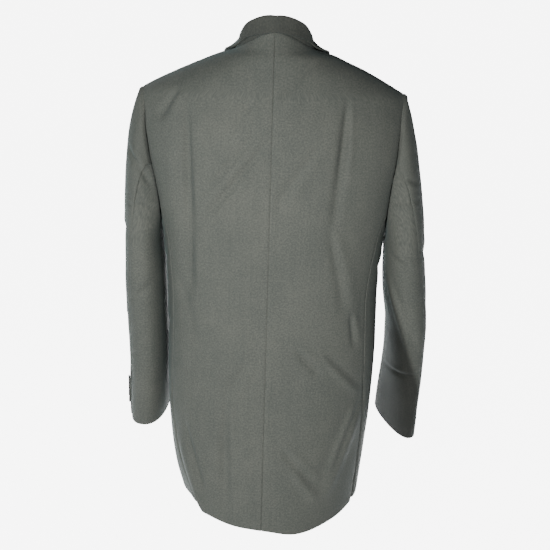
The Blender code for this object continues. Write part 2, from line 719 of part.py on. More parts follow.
def cloth(name, cells, form, flip):
    """A slab of cloth, cells across and up, carried onto a form with its wall on one side of it."""
    slab = bmesh.new()
    bmesh.ops.create_grid(slab, x_segments=cells[0], y_segments=cells[1], size=1.0)
    made = bmesh.ops.extrude_face_region(slab, geom=slab.faces[:], use_keep_orig=True)
    inner = [part for part in made["geom"] if isinstance(part, bmesh.types.BMVert)]
    bmesh.ops.translate(slab, verts=inner, vec=(0.0, 0.0, -1.0))
    bmesh.ops.recalc_face_normals(slab, faces=slab.faces[:])
    for corner in slab.verts:
        u, v, depth = (corner.co.x + 1) / 2, (corner.co.y + 1) / 2, corner.co.z
        right, left = min(u + GRID_STEP, 1.0), max(u - GRID_STEP, 0.0)
        above, below = min(v + GRID_STEP, 1.0), max(v - GRID_STEP, 0.0)
        across_way = form(right, v) - form(left, v)
        up_way = form(u, above) - form(u, below)
        outward = across_way.cross(up_way).normalized() * flip
        corner.co = form(u, v) + outward * (depth * WALL)
    if flip < 0:
        bmesh.ops.reverse_faces(slab, faces=slab.faces[:])
    mesh = bpy.data.meshes.new(name)
    slab.to_mesh(mesh)
    slab.free()
    mesh.shade_smooth()
    mesh.set_sharp_from_angle(angle=math.radians(CREASE_ANGLE))
    return add_piece(name, mesh, CLOTH_FINISH)


def button(name, spot, outward, size):
    """A round button with a raised rim, standing just above the cloth at spot."""
    disc = bmesh.new()
    bmesh.ops.create_cone(
        disc,
        cap_ends=True,
        segments=BUTTON_SIDES,
        radius1=size["radius"] - BUTTON_TAPER,
        radius2=size["radius"],
        depth=size["height"],
    )
    top = [face for face in disc.faces if face.normal.z > BUTTON_TOP_NORMAL]
    bmesh.ops.inset_region(disc, faces=top, thickness=size["rim"])
    bmesh.ops.inset_region(disc, faces=top, thickness=BUTTON_BEVEL)
    well = list({corner for face in top for corner in face.verts})
    bmesh.ops.translate(disc, verts=well, vec=(0.0, 0.0, -BUTTON_WELL))
    turn = outward.to_track_quat("Z", "Y").to_matrix().to_4x4()
    lift = Matrix.Translation(spot + outward * (size["height"] / 2 + BUTTON_LIFT))
    bmesh.ops.transform(disc, matrix=lift @ turn, verts=disc.verts)
    mesh = bpy.data.meshes.new(name)
    disc.to_mesh(mesh)
    disc.free()
    return add_piece(name, mesh, BUTTON_FINISH)


def cuff_button(side, number, rise):
    """A button on the top sleeve beside the elbow seam, at a height above the cuff edge."""
    rows = LEFT_RINGS if side > 0 else RIGHT_RINGS
    low, high = 0.5, 1.0
    target = sleeve_point(rows, elbow_turn(1.0, side), 1.0, side).z + rise
    for _ in range(FIND_ROUNDS):
        v = (low + high) / 2
        too_high = sleeve_point(rows, elbow_turn(v, side), v, side).z > target
        low, high = (v, high) if too_high else (low, v)
    turn = elbow_turn(v, side) - CUFF_BUTTON_TURN
    spot = sleeve_point(rows, turn, v, side)
    after = sleeve_point(rows, turn + CUFF_BUTTON_SPAN, v, side)
    before = sleeve_point(rows, turn - CUFF_BUTTON_SPAN, v, side)
    below = sleeve_point(rows, turn, v + CUFF_BUTTON_STEP, side)
    above = sleeve_point(rows, turn, v - CUFF_BUTTON_STEP, side)
    round_it, down = after - before, below - above
    outward = round_it.cross(down).normalized() * -side
    button(f"cuff_button_{'left' if side > 0 else 'right'}_{number}", spot, outward, CUFF_BUTTON_SIZE)


def build():
    """Clears the scene and builds every piece."""
    for old in list(bpy.data.objects):
        bpy.data.objects.remove(old)
    for side, hand in ((1, "left"), (-1, "right")):
        cloth(f"back_{hand}", CELLS["back"], back_form(side), -side)
        cloth(f"side_{hand}", CELLS["side"], side_form(side), -side)
        cloth(f"front_{hand}", CELLS["front"], front_form(side), -side)
        cloth(f"lapel_{hand}", CELLS["lapel"], lapel_form(side), side)
        cloth(f"top_sleeve_{hand}", CELLS["sleeve"], sleeve_form(side, True), side)
        cloth(f"under_sleeve_{hand}", CELLS["sleeve"], sleeve_form(side, False), side)
        for number, rise in enumerate(CUFF_BUTTON_RISES, start=1):
            cuff_button(side, number, rise)
    cloth("collar", CELLS["collar"], collar_form(), 1)
    for number, z in enumerate(BUTTON_HEIGHTS, start=1):
        spot = front_place(180.0, z, 1)
        button(f"front_button_{number}", spot, Vector((0.0, -1.0, 0.0)), BUTTON_SIZE)


build()
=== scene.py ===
"""Looks of a single-breasted blazer that stands hollow, as it is worn.

Metres and degrees, +Z up. The front faces -Y and the wearer's left is +X. Each cloth piece is a fine shell
on the form that its solid has, with rolled seams, creases laid on one by one and its grain in its own map.
"""

import logging
import math
from dataclasses import dataclass, field
from enum import Enum
from typing import Callable, Sequence

import bmesh
import bpy
import numpy as np
from mathutils import Matrix, Vector


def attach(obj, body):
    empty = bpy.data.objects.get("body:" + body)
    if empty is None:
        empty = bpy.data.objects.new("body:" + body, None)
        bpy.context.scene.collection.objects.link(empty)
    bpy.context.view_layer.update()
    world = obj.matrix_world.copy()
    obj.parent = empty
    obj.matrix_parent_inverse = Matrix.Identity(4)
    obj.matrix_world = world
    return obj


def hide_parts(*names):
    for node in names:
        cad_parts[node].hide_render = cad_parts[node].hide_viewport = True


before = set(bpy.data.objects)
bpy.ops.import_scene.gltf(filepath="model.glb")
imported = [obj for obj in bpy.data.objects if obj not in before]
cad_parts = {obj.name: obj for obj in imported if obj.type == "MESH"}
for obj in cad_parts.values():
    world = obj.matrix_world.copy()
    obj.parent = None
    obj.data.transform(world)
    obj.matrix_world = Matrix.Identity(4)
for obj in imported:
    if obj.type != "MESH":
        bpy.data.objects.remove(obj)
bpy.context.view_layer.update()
LOG = logging.getLogger("blazer")

Array = np.ndarray
Pair = tuple[float, float]
Triple = tuple[float, float, float]
Rows = Sequence[dict[str, float]]
Form = Callable[[Array, Array], Array]

# Distances from an edge at which the grid of a cloth piece has its first lines.
EDGE_STEPS = (0.0, 0.0007, 0.0014, 0.0022, 0.0032, 0.0045, 0.0065)


class Side(Enum):
    """Side of the wearer that a piece is on."""

    LEFT = 1
    RIGHT = -1

    @property
    def word(self) -> str:
        """The side's name in lower case."""
        return self.name.lower()


class Edge(Enum):
    """How an edge of a cloth piece is finished: a vented one is a seam above its vent and free below."""

    SEAM = "seam"
    TURNED = "turned"
    VENTED = "vented"
    HIDDEN = "hidden"


class Facing(Enum):
    """Side of the garment that a crease is on, as the direction it faces."""

    BACK = (0.0, 1.0, 0.0)
    FRONT = (0.0, -1.0, 0.0)
    LEFT = (1.0, 0.0, 0.0)
    RIGHT = (-1.0, 0.0, 0.0)

    @property
    def across(self) -> int:
        """Axis that runs across this side."""
        return 1 if self.value[0] else 0


# ---------------------------------------------------------------- numbers on arrays


def table(columns: str, *rows: Sequence[float]) -> Rows:
    """Rows of a table as dicts by the names of its columns."""
    return tuple(dict(zip(columns.split(), row)) for row in rows)


def ease(x: Array) -> Array:
    """Smooth step from 0 to 1 as x goes from 0 to 1."""
    x = np.clip(x, 0.0, 1.0)
    return x * x * (3.0 - 2.0 * x)


def mix(a: Array, b: Array, share: Array) -> Array:
    """Straight blend from a to b."""
    return a + (b - a) * share


def hermite(start: Array, end: Array, leave: Array, arrive: Array, s: Array) -> Array:
    """Smooth curve between two places.

    Args:
        start: Where it starts.
        end: Where it ends.
        leave: Its direction and speed at the start.
        arrive: Its direction and speed at the end.
        s: Shares of the way, from 0 to 1.

    Returns:
        The places at these shares.
    """
    return (
        start * ((1 + 2 * s) * (1 - s) ** 2)
        + leave * (s * (1 - s) ** 2)
        + end * (s * s * (3 - 2 * s))
        - arrive * (s * s * (1 - s))
    )


def signed_power(x: Array, power: Array) -> Array:
    """x raised to a power with its sign kept."""
    return np.sign(x) * np.abs(x) ** power


def unit(vectors: Array) -> Array:
    """The vectors of the last axis, each one long."""
    return vectors / np.maximum(np.linalg.norm(vectors, axis=-1, keepdims=True), 1e-12)


def spread(share: Array, cells: int, span: float) -> Array:
    """Shares of a grid's cells moved so that a few fine cells lie along both edges.

    Args:
        share: Even shares from 0 to 1.
        cells: How many cells there are.
        span: Length in metres that the shares stand for.

    Returns:
        The uneven shares.
    """
    fine = np.array(EDGE_STEPS) / span
    inner = np.linspace(fine[-1], 1.0 - fine[-1], cells - 2 * len(fine) + 3)
    knots = np.concatenate([fine[:-1], inner, (1.0 - fine[:-1])[::-1]])
    return knots[np.rint(share * cells).astype(int)]


def stack(*values: Array) -> Array:
    """Points from arrays of x, y and z."""
    return np.stack(np.broadcast_arrays(*values), axis=-1)


class Curve:
    """A smooth function through the rows of a table that never overshoots them."""

    def __init__(self, rows: Rows, key: str, column: str) -> None:
        """Reads two columns of a table.

        Args:
            rows: The table.
            key: Name of the column that the curve is a function of.
            column: Name of the column that it gives.
        """
        ordered = sorted(rows, key=lambda row: row[key])
        self.knots = np.array([row[key] for row in ordered])
        self.values = np.array([row[column] for row in ordered])
        steps = np.diff(self.values) / np.diff(self.knots)
        inner = [0.0 if a * b <= 0 else 2.0 * a * b / (a + b) for a, b in zip(steps, steps[1:])]
        self.tangents = np.array([steps[0], *inner, steps[-1]])

    def __call__(self, at: Array) -> Array:
        """Values of the curve.

        Args:
            at: One or many places, of which those past an end count as at that end.

        Returns:
            The value at each place.
        """
        at = np.clip(at, self.knots[0], self.knots[-1])
        i = np.clip(np.searchsorted(self.knots, at, side="right") - 1, 0, len(self.knots) - 2)
        wide = self.knots[i + 1] - self.knots[i]
        share = (at - self.knots[i]) / wide
        leave, arrive = self.tangents[i] * wide, self.tangents[i + 1] * wide
        return hermite(self.values[i], self.values[i + 1], leave, arrive, share)


# ---------------------------------------------------------------- forms


@dataclass
class BodyForm:
    """The form that the body cloth lies on: rounded sections from the hem to the neck."""

    shoulder_neck_z: float = -0.030
    shoulder_tip_z: float = -0.100
    armpit_z: float = -0.330
    break_z: float = -0.430
    vent_top_z: float = -0.634
    front_neck_z: float = -0.048
    gorge_z: float = -0.075
    armhole_back: float = 68.0
    armhole_front: float = 114.0
    armhole_square: float = 2.8
    back_join: float = 125.0
    front_join: float = 235.0
    seam_rows: float = 13 / 28
    arm_rows: float = 22 / 28
    front_seam: float = 110.8
    overlap: float = 0.015
    roll_top_x: float = 0.060
    cutaway: float = 0.050
    corner_rise: float = 0.045
    corner_share: float = 0.30
    layer_step: float = 0.0042
    underlap: float = 0.038
    neck_end: float = 0.72
    seam_radius: float = 0.20
    hem_seam_z: float = -0.838
    fold_taper: float = 0.35
    fold_start: float = 0.15
    fold_past: float = 0.05
    fold_fade: float = 15.0
    slope_z: float = 0.001
    slope_angle: float = 0.5
    cutaway_drop: float = 0.12
    cutaway_run: float = 0.30
    under_reach: float = 0.032
    under_top_z: float = -0.30
    under_fade: Pair = (0.016, 0.030)
    float_rounds: int = 3
    sections: Rows = table(
        "z left right back front square",
        (0.000, 0.0470, 0.0500, 0.0690, 0.036, 2.0),
        (-0.015, 0.0560, 0.0590, 0.0760, 0.042, 2.0),
        (-0.030, 0.0680, 0.0710, 0.0840, 0.048, 2.0),
        (-0.040, 0.0960, 0.1040, 0.0900, 0.055, 1.95),
        (-0.050, 0.1200, 0.1250, 0.0945, 0.063, 1.9),
        (-0.060, 0.1440, 0.1490, 0.0980, 0.072, 1.9),
        (-0.080, 0.1880, 0.1870, 0.1060, 0.088, 1.84),
        (-0.094, 0.2150, 0.2110, 0.1105, 0.097, 1.80),
        (-0.104, 0.2280, 0.2265, 0.1135, 0.103, 1.82),
        (-0.150, 0.2300, 0.2300, 0.1235, 0.121, 2.10),
        (-0.200, 0.2230, 0.2270, 0.1290, 0.130, 2.3),
        (-0.250, 0.2110, 0.2190, 0.1310, 0.134, 2.35),
        (-0.300, 0.1980, 0.2100, 0.1310, 0.134, 2.4),
        (-0.350, 0.1880, 0.2010, 0.1300, 0.132, 2.4),
        (-0.450, 0.1800, 0.1945, 0.1290, 0.127, 2.4),
        (-0.550, 0.1780, 0.1955, 0.1330, 0.128, 2.4),
        (-0.650, 0.1765, 0.1915, 0.1400, 0.133, 2.35),
        (-0.750, 0.1680, 0.1835, 0.1450, 0.138, 2.2),
        (-0.870, 0.1385, 0.1720, 0.1480, 0.142, 2.0),
    )
    hem: Rows = table(
        "angle z",
        (-180.0, -0.838),
        (-110.0, -0.832),
        (-75.0, -0.834),
        (-45.0, -0.853),
        (-20.0, -0.867),
        (0.0, -0.858),
        (30.0, -0.852),
        (50.0, -0.843),
        (70.0, -0.824),
        (110.0, -0.830),
        (180.0, -0.838),
    )
    side_seam: Rows = table(
        "z left right",
        (-0.292, 70.9, 70.9),
        (-0.350, 67.0, 64.0),
        (-0.450, 65.0, 58.0),
        (-0.640, 67.0, 61.0),
        (-0.710, 63.0, 64.0),
        (-0.811, 50.0, 66.0),
        (-0.870, 44.0, 66.0),
    )
    folds: Rows = table(
        "x1 z1 x2 z2 width depth",
        (0.1406, -0.110, 0.1384, -0.480, 0.015, -0.0065),
        (-0.1234, -0.108, -0.1050, -0.330, 0.009, -0.0050),
        (-0.1680, -0.640, -0.1080, -0.810, 0.010, 0.0065),
        (-0.0500, -0.735, -0.1000, -0.815, 0.009, 0.0045),
        (0.1480, -0.700, 0.1000, -0.860, 0.011, 0.0070),
        (0.0720, -0.650, 0.0660, -0.860, 0.016, -0.0045),
    )

    def __post_init__(self) -> None:
        """Makes the curves that the tables stand for."""
        self.left, self.right, self.back, self.front, self.square = (
            Curve(self.sections, "z", name) for name in ("left", "right", "back", "front", "square")
        )
        self.hem_z = Curve(self.hem, "angle", "z")
        self.seam = {side: Curve(self.side_seam, "z", side.word) for side in Side}

    def bare(self, angle: Array, z: Array) -> Array:
        """Points of the form without folds.

        Args:
            angle: Degrees from the centre back, positive to the wearer's left.
            z: Heights.

        Returns:
            The points, with x, y and z on the last axis.
        """
        turn = np.radians(angle)
        power = 2.0 / self.square(z)
        wide = np.where(np.asarray(angle) >= 0, self.left(z), self.right(z))
        deep = np.where(np.cos(turn) >= 0, self.back(z), self.front(z))
        return stack(wide * signed_power(np.sin(turn), power), deep * signed_power(np.cos(turn), power), z)

    def fold_height(self, x: Array, z: Array) -> Array:
        """Height of the large folds of the back above the form.

        Args:
            x: Places across.
            z: Heights.

        Returns:
            The height of the folds at each place.
        """
        total = np.zeros(np.broadcast(x, z).shape)
        for fold in self.folds:
            run = np.array([fold["x2"] - fold["x1"], fold["z2"] - fold["z1"]])
            off = stack(x - fold["x1"], z - fold["z1"])
            along = off @ run / (run @ run)
            aside = np.abs(off[..., 0] * run[1] - off[..., 1] * run[0]) / np.linalg.norm(run)
            inside = np.minimum(along, 1.0 - along)
            swell = ease(inside / self.fold_taper + self.fold_start) * (inside > -self.fold_past)
            total += fold["depth"] * swell * np.exp(-((aside / fold["width"]) ** 2))
        return total

    def point(self, angle: Array, z: Array, lift: Array = 0.0) -> Array:
        """Points of the outer face of the body cloth, with its large folds.

        Args:
            angle: Degrees from the centre back.
            z: Heights on the form.
            lift: Distance above the form.

        Returns:
            The points.
        """
        angle, z, lift = np.broadcast_arrays(angle, z, lift)
        at = self.bare(angle, z)
        up = self.bare(angle, z + self.slope_z) - self.bare(angle, z - self.slope_z)
        around = self.bare(angle + self.slope_angle, z) - self.bare(angle - self.slope_angle, z)
        behind = ease((90.0 - np.abs(angle)) / self.fold_fade)
        lift = lift + self.fold_height(at[..., 0], z) * behind
        return at + unit(np.cross(up, around)) * lift[..., None]

    def chart(self, angle: Array, z: Array, middle: float) -> Array:
        """Places on a flat map: metres round the form from a middle angle, and up.

        Args:
            angle: Angles of the places.
            z: Their heights.
            middle: Angle of the line that stays straight.

        Returns:
            Across and up on the last axis.
        """
        steps = 24
        run = np.zeros(np.broadcast(angle, z).shape)
        step = (angle - middle) / steps
        for number in range(steps):
            here = middle + step * number
            run += np.linalg.norm(self.bare(here + step, z) - self.bare(here, z), axis=-1)
        return stack(run * np.sign(angle - middle), z)

    def _off_centre(self, x: Array, z: Array, on_left: Array) -> Array:
        """Degrees from the centre line to places across, on the left or on the right."""
        wide = np.where(on_left, self.left(z), self.right(z))
        return np.degrees(np.arcsin(np.minimum(np.abs(x) / wide, 1.0) ** (self.square(z) / 2.0)))

    def angle_at(self, x: Array, z: Array, front: bool = False) -> Array:
        """Angle of the form at places across, on the back or on the front."""
        angle = self._off_centre(x, z, np.asarray(x) >= 0)
        return np.sign(x) * np.where(front, 180.0 - angle, angle)

    def armhole(self, turn: Array) -> tuple[Array, Array]:
        """The armhole seam.

        Args:
            turn: Degrees round the seam: 0 is the shoulder tip, 90 the back, 180 the armpit.

        Returns:
            Its angle and its height.
        """
        middle = (self.shoulder_tip_z + self.armpit_z) / 2
        power = 2.0 / self.armhole_square
        z = middle + (self.shoulder_tip_z - middle) * signed_power(np.cos(np.radians(turn)), power)
        aside = signed_power(np.sin(np.radians(turn)), power)
        reach = np.where(aside >= 0, 90.0 - self.armhole_back, self.armhole_front - 90.0)
        return 90.0 - reach * aside, z

    def even_turn(self, first: Array, last: Array, share: Array) -> Array:
        """Turns round the armhole, evenly along its seam.

        Args:
            first: Turn at share 0.
            last: Turn at share 1.
            share: Shares of the seam's length between the two.

        Returns:
            The turn at each share.
        """
        turns = np.linspace(-180.0, 360.0, 1081)
        angle, z = self.armhole(turns)
        steps = np.hypot(np.diff(np.radians(angle)) * self.seam_radius, np.diff(z))
        run = np.concatenate([[0.0], np.cumsum(steps)])
        start, end = np.interp(first, turns, run), np.interp(last, turns, run)
        return np.interp(mix(start, end, share), run, turns)

    def hem_height(self, angle: Array) -> Array:
        """Height of the hem at an angle from the centre back."""
        return self.hem_z(np.clip(angle, -180.0, 180.0))

    def hem_angle(self, side: Side) -> float:
        """Angle at which the side seam meets the hem."""
        return float(self.seam[side](self.hem_seam_z))

    def panel_edge(self, v: Array, side: Side, rear: bool) -> tuple[Array, Array]:
        """Outer edge of a back or a front: side seam, armhole, shoulder seam.

        Args:
            v: Shares of its rows, from the hem up.
            side: The wearer's side.
            rear: True for the back.

        Returns:
            Its angle and its height.
        """
        join, tip = (self.back_join, 0.0) if rear else (self.front_join, 360.0)
        top = float(self.armhole(join)[1])
        hem_angle = self.hem_angle(side) if rear else self.front_seam
        low_z = mix(float(self.hem_height(side.value * hem_angle)), top, v / self.seam_rows)
        low_angle = self.seam[side](low_z) if rear else np.full_like(low_z, self.front_seam)
        arm_share = (v - self.seam_rows) / (self.arm_rows - self.seam_rows)
        arm_angle, arm_z = self.armhole(self.even_turn(join, tip, np.clip(arm_share, 0.0, 1.0)))
        high_z = mix(self.shoulder_tip_z, self.shoulder_neck_z, (v - self.arm_rows) / (1.0 - self.arm_rows))
        low, middle = v <= self.seam_rows, v <= self.arm_rows
        angle = np.where(low, low_angle, np.where(middle, arm_angle, 90.0))
        return angle, np.where(low, low_z, np.where(middle, arm_z, high_z))

    def row_height(self, v: Array, edge_z: Array, low: Array, high: Array) -> Array:
        """Heights in the rows of a back or a front.

        Args:
            v: Shares of its rows, from the hem up.
            edge_z: Height of each row at the outer edge.
            low: Height of the hem.
            high: Height of the top edge.

        Returns:
            The heights.
        """
        top = float(self.armhole(self.back_join)[1])
        below = mix(low, top, v / self.seam_rows)
        above = mix(self.shoulder_tip_z, high, (v - self.arm_rows) / (1.0 - self.arm_rows))
        return np.where(v <= self.seam_rows, below, np.where(v >= self.arm_rows, above, edge_z))

    def front_edge_x(self, z: Array) -> Array:
        """Place across of the front edge, or of the roll line above the break.

        Args:
            z: Heights.

        Returns:
            The places, positive on the front's own side.
        """
        rise = (z - self.break_z) / (self.shoulder_neck_z - self.break_z)
        cut = self.cutaway * ease((self.break_z - self.cutaway_drop - z) / self.cutaway_run)
        return np.where(z >= self.break_z, mix(-self.overlap, self.roll_top_x, rise), -self.overlap + cut)

    def front_edge_angle(self, z: Array, side: Side) -> Array:
        """Angle of the front edge, which may lie past the centre front.

        Args:
            z: Heights.
            side: The wearer's side.

        Returns:
            The angle at each height, past 180 beyond the centre.
        """
        x = self.front_edge_x(z)
        past = self._off_centre(x, z, side.value * x > 0)
        return np.where(x >= 0, 180.0 - past, 180.0 + past)

    def front_point(self, angle: Array, z: Array, side: Side, lift: float = 0.0) -> Array:
        """Points of the outer face of a front, the right one stepped in under the left one.

        Args:
            angle: Degrees from the centre back on the front's own side.
            z: Heights.
            side: The wearer's side.
            lift: Distance above the form.

        Returns:
            The points.
        """
        whole = (side.value * np.asarray(angle) + 180.0) % 360.0 - 180.0
        if side is Side.LEFT:
            return self.point(whole, z, lift)
        x = self.bare(whole, z)[..., 0]
        covered = ease((x + self.overlap + self.under_reach) / self.under_fade[0])
        below = ease((self.under_top_z - z) / self.under_fade[1])
        return self.point(whole, z, lift - self.layer_step * covered * below)

    def front_spot(self, x: Array, z: Array, side: Side, lift: float) -> Array:
        """Points above a front at places across, positive on its own side, and up."""
        return self.point(self.angle_at(side.value * x, z, front=True), z, lift)

    def _level(self, at: Array) -> Array:
        """How far out points are, as a share of their section.

        Args:
            at: The points.

        Returns:
            1 on the form, and more outside it.
        """
        x, y, z = at[..., 0], at[..., 1], at[..., 2]
        power = self.square(z)
        wide = np.where(x >= 0, self.left(z), self.right(z))
        deep = np.where(y >= 0, self.back(z), self.front(z))
        return ((np.abs(x) / wide) ** power + (np.abs(y) / deep) ** power) ** (1.0 / power)

    def outside_by(self, points: Array) -> tuple[Array, Array]:
        """How far and which way points are outside the form.

        Args:
            points: The points.

        Returns:
            Their distances, and the directions straight out.
        """
        step = 1e-4
        rises = [self._level(points + way) - self._level(points - way) for way in np.eye(3) * step]
        uphill = stack(*rises) / (2 * step)
        return (self._level(points) - 1.0) / np.linalg.norm(uphill, axis=-1), unit(uphill)

    def floated(self, points: Array, lift: Array) -> Array:
        """The points moved out, where needed, until they are clear of the form.

        Args:
            points: The points.
            lift: The least distance from the form.

        Returns:
            The moved points.
        """
        for _ in range(self.float_rounds):
            above, outward = self.outside_by(points)
            points = points + outward * np.maximum(lift - above, 0.0)[..., None]
        return points


@dataclass
class SleeveForm:
    """One sleeve: it leaves the armhole seam and goes on as flattened rings down to the cuff."""

    side: Side
    body: BodyForm
    left_rings: Rows = table(
        "x y z deep thick twist",
        (0.2225, -0.004, -0.362, 0.080, 0.0325, 0.0),
        (0.2205, -0.004, -0.440, 0.076, 0.0350, 0.0),
        (0.2175, -0.010, -0.520, 0.072, 0.0350, 0.0),
        (0.2155, -0.022, -0.595, 0.068, 0.0345, 3.0),
        (0.2160, -0.038, -0.660, 0.065, 0.0340, 7.0),
        (0.2165, -0.050, -0.704, 0.063, 0.0320, 10.0),
    )
    right_rings: Rows = table(
        "x y z deep thick twist",
        (0.2370, -0.004, -0.362, 0.080, 0.0350, 0.0),
        (0.2430, -0.004, -0.440, 0.076, 0.0375, 2.0),
        (0.2505, -0.009, -0.520, 0.072, 0.0325, 8.0),
        (0.2500, -0.022, -0.595, 0.068, 0.0270, 15.0),
        (0.2480, -0.042, -0.670, 0.064, 0.0225, 23.0),
        (0.2475, -0.060, -0.720, 0.062, 0.0220, 26.0),
    )
    elbow_seam: Rows = table(
        "v left right",
        (0.00, 92.0, 90.0),
        (0.40, 64.0, 60.0),
        (0.70, 46.0, 40.0),
        (1.00, 30.0, 26.0),
    )
    ring_square: float = 2.3
    cap_share: float = 0.40
    armhole_step: float = 0.0002
    head_rise: float = 0.0030
    head_width: float = 0.009
    sleeve_clear: float = 0.0020
    head_share: float = 0.30
    cap_flare_left: float = 0.34
    cap_flare_right: float = 0.26
    forearm_seam: float = -118.0
    lean_step: float = 0.02
    cap_outward: float = 0.06
    cap_sideways: float = 0.40
    cap_leave: float = 0.9
    cap_arrive: float = 0.8

    def __post_init__(self) -> None:
        """Makes the curves that the tables stand for."""
        rings = self.left_rings if self.side is Side.LEFT else self.right_rings
        spaced = [dict(row, s=i / (len(rings) - 1)) for i, row in enumerate(rings)]
        self.ring = {name: Curve(spaced, "s", name) for name in rings[0]}
        self.elbow = Curve(self.elbow_seam, "v", self.side.word)

    def ring_point(self, turn: Array, share: Array) -> Array:
        """Points of the tube below the cap.

        Args:
            turn: Degrees round it: 0 is the outer side, 90 the back, 180 the inner side.
            share: Shares of the way from the cap (0) to the cuff (1).

        Returns:
            The points.
        """
        here = {name: curve(share) for name, curve in self.ring.items()}
        near, far = np.minimum(share + self.lean_step, 1.0), np.maximum(share - self.lean_step, 0.0)
        lean = (self.ring["y"](near) - self.ring["y"](far)) / (self.ring["z"](near) - self.ring["z"](far))
        slant, twist = np.arctan(lean), np.radians(here["twist"])
        power = 2.0 / self.ring_square
        out = here["thick"] * signed_power(np.cos(np.radians(turn)), power)
        back = here["deep"] * signed_power(np.sin(np.radians(turn)), power)
        across = self.side.value * (here["x"] + (out * np.cos(twist) + back * np.sin(twist)))
        y = back * np.cos(twist) - out * np.sin(twist)
        return stack(across, here["y"] + y * np.cos(slant), here["z"] - y * np.sin(slant))

    def turns(self, u: Array, v: Array, first: Array, last: Array) -> Array:
        """Turns across a piece, even along the armhole at its top and even in angle below.

        Args:
            u: Shares across.
            v: Shares down from the armhole.
            first: Turn at the first edge.
            last: Turn at the last edge.

        Returns:
            The turns.
        """
        even = self.body.even_turn(first, last, u)
        return mix(even, mix(first, last, u), ease(v / self.head_share))

    def _cap(self, turn: Array, v: Array) -> Array:
        """Points of the cap, which leaves the armhole seam outwards and arrives at the first ring.

        Args:
            turn: Degrees round the sleeve.
            v: Shares down from the armhole seam (0) to the cuff (1).

        Returns:
            The points, of which those above the first ring are of use.
        """
        angle, z = self.body.armhole(turn)
        start = self.body.point(self.side.value * angle, z, self.armhole_step)
        end = self.ring_point(turn, np.zeros_like(v))
        chord = np.linalg.norm(end - start, axis=-1)
        flare = self.cap_flare_left if self.side is Side.LEFT else self.cap_flare_right
        outward = self.side.value * (self.cap_outward + flare * (1.0 + np.cos(np.radians(turn))) / 2)
        sideways = self.cap_sideways * np.sin(np.radians(turn))
        leave = stack(outward, sideways, -self.cap_leave) * chord[..., None]
        arrive = stack(0.0, 0.0, -self.cap_arrive * chord)
        s = np.clip(v / self.cap_share, 0.0, 1.0)[..., None]
        clear = mix(self.armhole_step, self.sleeve_clear, ease(2.0 * s[..., 0]))
        return self.body.floated(hermite(start, end, leave, arrive, s), clear)

    def point(self, turn: Array, v: Array) -> Array:
        """Points of the outer face.

        Args:
            turn: Degrees round the sleeve.
            v: Shares down from the armhole seam (0) to the cuff (1).

        Returns:
            The points.
        """
        turn, v = np.broadcast_arrays(turn, v)
        share = np.clip((v - self.cap_share) / (1.0 - self.cap_share), 0.0, 1.0)
        tube = self.body.floated(self.ring_point(turn, share), self.sleeve_clear)
        return np.where((v >= self.cap_share)[..., None], tube, self._cap(turn, v))


